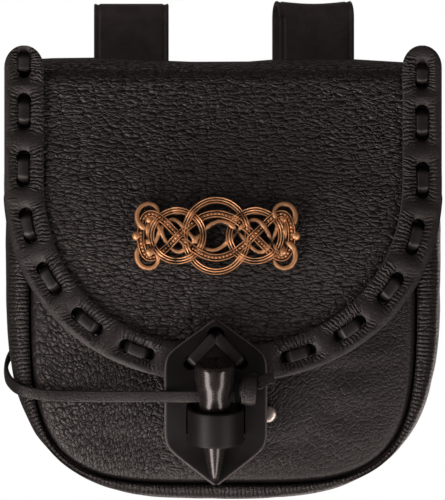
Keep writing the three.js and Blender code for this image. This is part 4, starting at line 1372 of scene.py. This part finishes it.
def plate_lace():
    """One lace with two legs in a steep V. Each goes down behind the flap at both its ends."""
    legs = []
    top, *feet = [np.array([CLOSURE_X + x, z]) for x, z, radius in PLATE_HOLES]
    for foot in feet:
        reach = np.linalg.norm(top - foot)
        along = (top - foot) / reach
        distance = np.linspace(-3.4, reach + 0.6, 80)
        place = foot + distance[:, None] * along
        shown = smoothstep(distance, -1.2, 1.2) * (1 - smoothstep(distance, reach - 1.4, reach + 0.2))
        front = plate_face(place[:, 1]) - GAP - LACE_HALF - 0.2
        back = under_flap(place[:, 0], place[:, 1])[:, 1]
        points = np.stack([place[:, 0], lerp(back, front, shown), place[:, 1]], -1)
        legs.append(strap("plate_lace_leg", points, FORWARDS, LACE_SECTION, lace_leather))
    thing = join(legs)
    thing.name = "plate_lace_v"
    return hand_over(thing, ["plate_lace"])


hex_plate()
plate_lace()

# %% [markdown]
# ## The keeper and the toggle
# The keeper is a strap whose middle stands out of the plate as a round loop; its ends lie inside
# the front panel, each held by a rivet. The horn toggle is pushed down into the loop and sits
# there, tapered, with its top leaning out. It was turned to shape, sawn off square and drilled
# across.

# %% Keeper
KEEPER_WIDTH = 13.6
KEEPER_THICK = 2.2
KEEPER_BEND_Y = -67.6
KEEPER_INSIDE = -3.95


def keeper_band():
    straight = (KEEPER_ROOT[1] - KEEPER_BEND_Y) / math.cos(KEEPER_LEAN)
    inside = KEEPER_INSIDE
    path = [(-20.8, inside), (-16.5, inside), (-12.6, inside), (-10.3, inside + 0.7)]
    path += [(-KEEPER_RADIUS, inside + 3)] + [(-KEEPER_RADIUS, straight * part) for part in (0.3, 0.65)]
    angles = np.linspace(0, math.pi, 40)
    path += [(-KEEPER_RADIUS * math.cos(a), straight + KEEPER_RADIUS * math.sin(a)) for a in angles]
    path += [(KEEPER_RADIUS, straight * part) for part in (0.65, 0.3)] + [(KEEPER_RADIUS, inside + 3)]
    path += [(10.3, inside + 0.7), (12.6, inside), (20, inside), (25.2, inside)]
    path = curve_through(path, 170)
    turned = np.gradient(path, axis=0)
    points = KEEPER_ROOT + np.outer(path[:, 1], KEEPER_OUT) + np.outer(path[:, 0], (1, 0, 0))
    facing = np.outer(turned[:, 0], KEEPER_OUT) - np.outer(turned[:, 1], (1, 0, 0))
    ring = section(KEEPER_WIDTH, KEEPER_THICK, 0.55, 0.12, face_steps=14)
    thing = strap("keeper_loop", points, facing, ring, keeper_leather)
    cut(thing, punches(keeper_rivet_punches(1.8)))
    return hand_over(smooth(thing), ["keeper_band"])


keeper_band()

# %% Toggle
TOGGLE_LEAN = math.radians(20)
TOGGLE_UP = np.array([0, -math.sin(TOGGLE_LEAN), math.cos(TOGGLE_LEAN)])
TOGGLE_TOP = np.array([-3.2, -68.4, -136]) + TOGGLE_UP * 25.2
TOGGLE_PROFILE = [(0.0, 6.9), (0.25, 7.3), (0.8, 7.6), (2.5, 7.66), (7.5, 7.5), (11, 6.85)]
TOGGLE_PROFILE += [(14, 6.3), (17, 6.1), (24, 5.6), (30, 4.9), (36, 4), (42, 2.9), (46, 1.9)]
TOGGLE_PROFILE += [(47.6, 1.1), (48.1, 0.5)]
BORE_DOWN = 13.8
BORE_RADIUS = 2.65


def lathe(name, profile, columns, material):
    """A turned solid on the Z axis. The profile goes up, in pairs of radius and height."""
    turns = np.linspace(0, 2 * math.pi, columns, endpoint=False)
    rings = np.array(profile[1:-1])
    points = [(r * math.cos(t), r * math.sin(t), h) for r, h in rings for t in turns]
    low, high = len(points), len(points) + 1
    points += [(0, 0, profile[0][1]), (0, 0, profile[-1][1])]
    faces = grid_faces(len(rings), columns, around=True)
    top = (len(rings) - 1) * columns
    faces += [[low, (c + 1) % columns, c] for c in range(columns)]
    faces += [[high, top + c, top + (c + 1) % columns] for c in range(columns)]
    thing = new_object(name, points, faces)
    thing.data.materials.append(material)
    return thing


def aim(thing, direction, place):
    turn = Vector(direction).to_track_quat("Z", "Y").to_matrix().to_4x4()
    turn.translation = Vector(place) * MM
    thing.data.transform(turn)
    return thing


def toggle():
    down, radius = np.array(TOGGLE_PROFILE).T
    fine = np.concatenate([[0, 0.1, 0.25, 0.5, 0.8, 1.5], np.linspace(2.5, 47.6, 90), [48.1]])
    smoothed = curve_through(np.stack([down, radius], -1), 1400)
    radii = np.interp(fine, smoothed[:, 0], smoothed[:, 1])
    profile = [(0, -48.4)] + [(r, -d) for d, r in zip(fine[::-1], radii[::-1])]
    profile += [(6.0, 0.04), (3.0, 0.06), (0, 0.06)]
    thing = aim(lathe("horn_toggle", profile, 72, horn), TOGGLE_UP, TOGGLE_TOP)
    bore = TOGGLE_TOP - TOGGLE_UP * BORE_DOWN
    cut(thing, punches([round_punch(bore, (1, 0, 0), 12, BORE_RADIUS)]))
    return hand_over(smooth(thing), ["toggle"])


toggle()

# %% Rivets


def scatter_tree():
    """One turned pattern on each point of a mesh, along the vector axis and as large as size says."""
    tree = GeometryTree("scatter", {"Pattern": "Object", "Material": "Material"})
    sockets = {"Vector": tree.attribute("axis", "FLOAT_VECTOR")}
    turn = tree.node("FunctionNodeAlignRotationToVector", {"axis": "Z"}, sockets)
    sockets = {"Object": tree.input("Pattern")}
    shape = tree.node("GeometryNodeObjectInfo", inputs=sockets, output="Geometry")
    points = tree.node("GeometryNodeMeshToPoints", inputs={"Mesh": tree.input("Geometry")})
    sockets = {"Points": points, "Instance": shape, "Rotation": turn, "Scale": tree.attribute("size")}
    tree.end(tree.node("GeometryNodeInstanceOnPoints", inputs=sockets))
    return tree


scatter = scatter_tree()


def scattered(name, pattern, places, axis, sizes, material):
    """The pattern set on every place; the pattern itself is removed."""
    thing = new_object(name, places, [])
    set_vector(thing, "axis", np.tile(axis, (len(places), 1)))
    set_number(thing, "size", np.broadcast_to(sizes, len(places)))
    scatter.put_on(thing, Pattern=pattern, Material=material)
    bpy.data.objects.remove(pattern)
    return smooth(thing)


def rivet_profile(shank, head, dome, grip, washer):
    cap = [(head * math.cos(a), dome * math.sin(a)) for a in np.linspace(0.1, math.pi / 2, 9)[:-1]]
    rim = [(head - 0.25, 0), (head, 0.12)]
    foot = [(0, -grip - 1), (washer - 0.3, -grip - 1), (washer, -grip - 0.7), (washer, -grip)]
    return foot + [(shank, -grip), (shank, 0)] + rim + cap + [(0, dome)]


def set_rivets(name, places, axis, profile, nodes):
    pattern = lathe("rivet", profile, 32, nickel)
    return hand_over(scattered(name, pattern, places, axis, 1.0, nickel), nodes)


keeper_places = [(x, panel_face(x, KEEPER_ROOT[2]) - GAP - 0.3, KEEPER_ROOT[2]) for x in RIVET_X]
keeper_rivet = rivet_profile(1.5, 3.5, 1.5, WALL + KEEPER_THICK + 3 * GAP + 0.9, 3.0)
rivet_nodes = ["keeper_rivet_left", "keeper_rivet_right"]
set_rivets("keeper_rivet_pair", keeper_places, KEEPER_OUT, keeper_rivet, rivet_nodes)

# %% [markdown]
# ## The belt loops
# Two straps of smooth leather go over the belt and back down behind the pouch, riveted to its
# back. A hot iron has drawn a crease along both edges. The right one sits a little askew.

# %% Belt loops
LOOP_X = {"left": (-35.6, 0.0), "right": (36.4, -2.8)}
LOOP_WIDTH = 29
LOOP_THICK = 2.4
LOOP_SEAT = -4.45
LOOP_REAR = 4.55
LOOP_JOINED = -1.7
LOOP_BEND = 4.5
LOOP_BEND_AT = (0.05, 21.3)


def belt_loop(name):
    middle, skew = LOOP_X[name]
    bend_y, bend_z = LOOP_BEND_AT
    path = [(LOOP_SEAT, z) for z in np.linspace(-45, 18, 22)]
    angles = np.linspace(0, math.pi, 22)[1:-1]
    path += [(bend_y - LOOP_BEND * math.cos(a), bend_z + LOOP_BEND * math.sin(a)) for a in angles]
    path += [(LOOP_REAR, z) for z in np.linspace(18, -22, 14)]
    path += [(lerp(LOOP_REAR, LOOP_JOINED, part), z) for part, z in ((0.25, -26.8), (0.75, -29.25))]
    path += [(LOOP_JOINED, z) for z in (-32, -38, -45)]
    path = curve_through(path, 190)
    askew = skew * (path[:, 0] - LOOP_SEAT) / (2 * LOOP_BEND)
    points = np.stack([middle + askew, path[:, 0], path[:, 1]], -1)
    turned = np.gradient(path, axis=0)
    facing = np.stack([np.zeros(len(path)), -turned[:, 1], turned[:, 0]], -1)
    ring = section(LOOP_WIDTH, LOOP_THICK, 0.6, 0.0, 0.6, 44)
    # The loops' leather is painted paler, a painted light for their place in the pouch's shadow.
    thing = strap(f"belt_strap_{name}", points, facing, ring, loop_leather)
    cut(thing, punches([round_punch((x, -2, LOOP_RIVET_Z), BACKWARDS, 9, 2.2) for x in LOOP_RIVET_X]))
    return hand_over(smooth(thing), [f"belt_loop_{name}"])


head_y = LOOP_SEAT + 1.5 * LOOP_THICK + 2 * GAP
loop_rivet = rivet_profile(1.9, 4.6, 1.8, head_y + 8 + GAP, 4.6)
loop_places = [(x, head_y, LOOP_RIVET_Z) for x in LOOP_RIVET_X]
rivet_nodes = [f"loop_rivet_{i}" for i in (1, 2, 3, 4)]
set_rivets("loop_rivet_set", loop_places, BACKWARDS, loop_rivet, rivet_nodes)
belt_loop("left")
belt_loop("right")

# %% [markdown]
# ## The ornament
# A copper-plated casting lies on the flap: a braid of two endless strands, three rings and four
# scrolls. The widest strand has raised rims and a row of beads between them, the rings are ribbed
# and the others domed. Strands pass over and under one another by turns, as in any braid. To find
# out where, each strand's crossings are numbered along it; odd ones go over and even ones under,
# or the other way round for a strand that would otherwise meet its neighbour at the same height.

# %% Lines of the braid
BEAD_STEP = 1.45
SCROLL_BEAD = 1.7
END_BEAD = 1.9
END_REACH = 30.6


Strand = namedtuple("Strand", "line width closed kind")


def endless(steps):
    return np.linspace(0, 2 * math.pi, steps, endpoint=False)


def braid_strands():
    turn = endless(460)
    wide = np.stack([29 * np.cos(turn), 8.2 * np.sin(3 * turn)], -1)
    swing = 7.2 * (0.75 + 0.25 * np.cos(turn) ** 2)
    slim = np.stack([26.5 * np.cos(turn), swing * np.sin(5 * turn + 0.3)], -1)
    strands = [Strand(wide, 3.5, True, "rims"), Strand(slim, 2.3, True, "dome")]
    for u, radius_u, radius_v in ((0, 12.2, 13.4), (-15, 10, 9.4), (15, 10, 9.4)):
        turn = endless(190)
        ring = np.stack([u + radius_u * np.cos(turn), radius_v * np.sin(turn)], -1)
        strands.append(Strand(ring, 3.0, True, "ribs"))
    for side in (-1, 1):
        for up in (-1, 1):
            part = np.linspace(0, 1, 64)
            angle = lerp(-0.5, 1.55, part) * math.pi
            radius = 5.9 * lerp(1, 0.34, part)
            out, rise = 25.4 + radius * np.cos(angle), 8.0 + radius * np.sin(angle)
            scroll = np.stack([side * out, up * rise], -1)
            strands.append(Strand(scroll, 2.9, False, "dome"))
    return strands


def crossings(strands):
    """Each crossing as (strand, step, strand, step)."""
    found = []
    ended = [np.vstack([one.line, one.line[:1]]) if one.closed else one.line for one in strands]
    for i, first in enumerate(ended):
        for j, second in enumerate(ended[i:], i):
            run, other = np.diff(first, axis=0)[:, None], np.diff(second, axis=0)[None]
            gap = second[None, :-1] - first[:-1, None]
            flat = run[..., 0] * other[..., 1] - run[..., 1] * other[..., 0]
            flat = np.where(np.abs(flat) < 1e-12, 1e-12, flat)
            on_first = (gap[..., 0] * other[..., 1] - gap[..., 1] * other[..., 0]) / flat
            on_second = (gap[..., 0] * run[..., 1] - gap[..., 1] * run[..., 0]) / flat
            hit = (on_first >= 0) & (on_first < 1) & (on_second >= 0) & (on_second < 1)
            found += [(i, p, j, q) for p, q in np.argwhere(hit) if i != j or 3 < q - p < len(first) - 4]
    return found


def woven_lifts(strands):
    """How far each strand rises and dips, so that it goes over and under by turns."""
    meetings = crossings(strands)
    passes = [[] for strand in strands]
    for i, p, j, q in meetings:
        passes[i].append(p)
        passes[j].append(q)
    passes = [sorted(steps) for steps in passes]
    order = {(i, step): k for i, steps in enumerate(passes) for k, step in enumerate(steps)}
    start = {0: 1}
    for strand in strands:
        for i, p, j, q in meetings:
            turn = -1 if (order[i, p] + order[j, q]) % 2 == 0 else 1
            if i in start and j not in start:
                start[j] = start[i] * turn
            if j in start and i not in start:
                start[i] = start[j] * turn
    lifts = []
    for i, strand in enumerate(strands):
        reached = run_along(strand.line)
        whole = np.linalg.norm(np.roll(strand.line, -1, 0) - strand.line, axis=1).sum()
        lift = np.zeros(len(reached))
        for k, step in enumerate(passes[i]):
            off = np.abs(reached - reached[step])
            off = np.minimum(off, whole - off) if strand.closed else off
            lift += start.get(i, 1) * (-1) ** k * np.exp(-((off / 1.9) ** 2))
        lifts.append(np.clip(lift, -1, 1))
    print("crossings in the braid:", len(meetings))
    return lifts


# %% Casting the braid


def strand_section(width, thickness, kind):
    """A flat back, and a face with raised rims and a hollow for beads, three ribs, or one low dome."""
    half = width / 2
    ring = []
    for x in np.linspace(1, -1, 17):
        rise = {
            "rims": 0.05 + 0.45 * math.exp(-(((abs(x) - 0.68) / 0.17) ** 2)),
            "ribs": 0.12 + 0.38 * abs(math.cos(1.5 * math.pi * x)) ** 0.7,
            "dome": 0.5 - 0.55 * abs(x) ** 2.4,
        }[kind]
        ring.append((x * half, thickness * (rise - 0.45 * max(0, abs(x) - 0.75) / 0.25)))
    return ring + [(-half * 0.9, -thickness / 2), (half * 0.9, -thickness / 2)]


def set_ridges(thing):
    """The number ridge: how far each point stands out from its neighbours, and from the flap."""
    points = read(thing.data.vertices, "co", 3) / MM
    normals = read(thing.data.vertices, "normal", 3)
    ends = read(thing.data.edges, "vertices", 2, int)
    total = np.zeros_like(points)
    number = np.zeros(len(points))
    for here, there in ((0, 1), (1, 0)):
        np.add.at(total, ends[:, here], points[ends[:, there]])
        np.add.at(number, ends[:, here], 1)
    bulge = np.sum(normals * (points - total / np.maximum(number, 1)[:, None]), axis=1)
    height = flap_face(points[:, 0], points[:, 2]) - points[:, 1]
    faced = np.clip(np.sum(normals * outward(flap_face, points[:, 0], points[:, 2]), axis=1), 0, 1)
    ridge = 0.58 * faced**4 + 4.0 * bulge + 0.30 * (height - 2.1)
    set_number(thing, "ridge", np.clip(ridge, 0, 1))


# %% The braid, its beads and its posts


def cast_strand(strand, lift):
    """The strand's mesh, then a place and a size for each of its beads."""
    x, z = (ORNAMENT_AT + strand.line).T
    thickness = 0.42 * strand.width + 0.4
    height = GAP + 1.25 + thickness / 2 + 0.8 * lift
    points = above(flap_face, x, z, np.maximum(height, GAP + thickness / 2))
    facing = outward(flap_face, x, z)
    ends = np.interp(np.linspace(0, 1, len(lift)), [0, 0.15, 1], [0.8, 1, 0.6])
    taper = 1.0 if strand.closed else ends
    ring = strand_section(strand.width, thickness, strand.kind)
    thing = strap("strand", points, facing, ring, copper, strand.closed, taper)
    if not strand.closed:
        return thing, points[-1:] + facing[-1:] * 0.2, [SCROLL_BEAD]
    if strand.kind != "rims":
        return thing, np.empty((0, 3)), []
    run = run_along(points)
    stops = np.arange(0.5, run[-1] - 0.3, BEAD_STEP)
    hollow = points + facing * 0.1 * thickness
    places = np.stack([np.interp(stops, run, column) for column in hollow.T], -1)
    return thing, places, np.full(len(stops), 0.16 * strand.width)


def ornament():
    strands = braid_strands()
    cast = [cast_strand(strand, lift) for strand, lift in zip(strands, woven_lifts(strands))]
    pieces, bead_places, bead_sizes = (list(column) for column in zip(*cast))
    x, z = ORNAMENT_AT
    for side in (-1, 1):
        bead_places.append(above(flap_face, x + side * END_REACH, z, END_BEAD)[None])
        bead_sizes.append([END_BEAD])
    ball = [(math.cos(a), math.sin(a)) for a in np.linspace(-1.35, 0.93, 5)]
    pattern = aim(lathe("bead", [(0, -1), *ball, (0, 1)], 8, copper), FORWARDS, (0, 0, 0))
    places, sizes = np.concatenate(bead_places), np.concatenate(bead_sizes)
    pieces.append(scattered("bead_rows", pattern, places, (0, 0, 1), sizes, copper))
    print("beads:", len(places))
    posts = [above(flap_face, x + side * POST_REACH, z, 0.6) for side in (-1, 1)]
    rods = punches([round_punch(post + (0, 1.4, 0), BACKWARDS, 1.9, 1.3) for post in posts])
    rods.data.materials.append(copper)
    thing = join([*pieces, smooth(rods)])
    thing.name = "copper_ornament"
    set_ridges(thing)
    return hand_over(thing, ["ornament"])


ornament()

# %% [markdown]
# ## Light and floor
# Two tall, low boxes at the sides graze the hide, so that every pebble has a lit and a dark flank,
# and draw the two bright lines down the horn. The loops stand in the pouch's own shadow, so a weak
# light high on the left reaches them, a small one behind shines on the horn's sawn top, and a wide
# one behind shows the back. The floor is pale, glows a little for the camera alone, and lies far
# below: the pouch hangs in front of plain white. The lights' places and sizes are in metres.

# %% Lights, world and floor
WARM = (1.0, 0.87, 0.83)
FLOOR_HALF = 4000
FLOOR_Z = -2000
LIGHTS = {
    "left_box": ((-0.44, -0.40, -0.70), (0.32, 1.15), 8.5),
    "right_box": ((0.72, -0.62, -1.10), (0.36, 1.9), 10.6),
    "high": ((-0.90, -0.75, 0.35), (0.5, 0.5), 1.5),
    "top": ((-0.03, 0.90, 0.72), (0.16, 0.07), 0.12),
    "behind": ((0.35, 1.30, -0.35), (0.9, 0.9), 4.0),
}


def area_light(name, place, size, energy):
    data = bpy.data.lights.new(name, "AREA")
    data.shape = "RECTANGLE"
    data.size, data.size_y = size
    data.energy = energy
    data.color = WARM
    thing = bpy.data.objects.new(name, data)
    thing.location = place
    aimed_at = VIEW_CENTRE - Vector(place)
    thing.rotation_euler = aimed_at.to_track_quat("-Z", "Y").to_euler()
    bpy.context.scene.collection.objects.link(thing)


def white_world():
    world = bpy.data.worlds.new("studio")
    bpy.context.scene.world = world
    world.use_nodes = True
    graph = Graph(world.node_tree)
    graph.tree.nodes.clear()
    seen = graph.node("ShaderNodeLightPath", output="Is Camera Ray")
    soft = graph.node("ShaderNodeBackground", inputs={"Color": (*WARM, 1), "Strength": 0.11})
    white = graph.node("ShaderNodeBackground", inputs={"Color": (1, 1, 1, 1), "Strength": 1.0})
    mixed = graph.node("ShaderNodeMixShader", inputs={0: seen, 1: soft, 2: white})
    graph.node("ShaderNodeOutputWorld", inputs={"Surface": mixed})


def floor():
    finish = Finish("pale_floor")
    grain = finish.noise(finish.place(60), 3.0)
    colour = finish.mix_colour(grain, (0.78, 0.78, 0.77, 1), (0.84, 0.84, 0.83, 1))
    normal = finish.bump(finish.noise(finish.place(4)), 0.2)
    seen = finish.node("ShaderNodeLightPath", output="Is Camera Ray")
    glow = finish.mix_colour(seen, (0, 0, 0, 1), (0.70, 0.70, 0.69, 1))
    looks = {"Roughness": 0.7 + 0.1 * grain, "Emission_Color": glow, "Emission_Strength": 1.0}
    material = finish.shade(Base_Color=colour, Normal=normal, **looks)
    x, y = np.meshgrid(*[np.linspace(-FLOOR_HALF, FLOOR_HALF, 11)] * 2)
    thing = new_sheet("floor", x, y, np.full_like(x, FLOOR_Z))
    thing.data.materials.append(material)
    thing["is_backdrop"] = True


for label, (place, size, energy) in LIGHTS.items():
    area_light(label, place, size, energy)
print("lights, W:", {label: energy for label, (place, size, energy) in LIGHTS.items()})
white_world()
floor()
bpy.context.scene.view_settings.view_transform = "Standard"

# %% [markdown]
# ## Sizes
# Both boxes are kept, and how far the worn shape stands beyond the imported one is printed. The
# worn shape may stand only a little proud of the imported one.

# %% The sizes, and how far they grew
sizes = {
    "cad": [[float(c) for c in corner] for corner in cad_box],
    "visual": [[float(c) for c in corner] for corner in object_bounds()],
}
print("grown beyond the packed box, mm:")
print([[round((v - c) / MM, 2) for c, v in zip(*pair)] for pair in zip(sizes["cad"], sizes["visual"])])
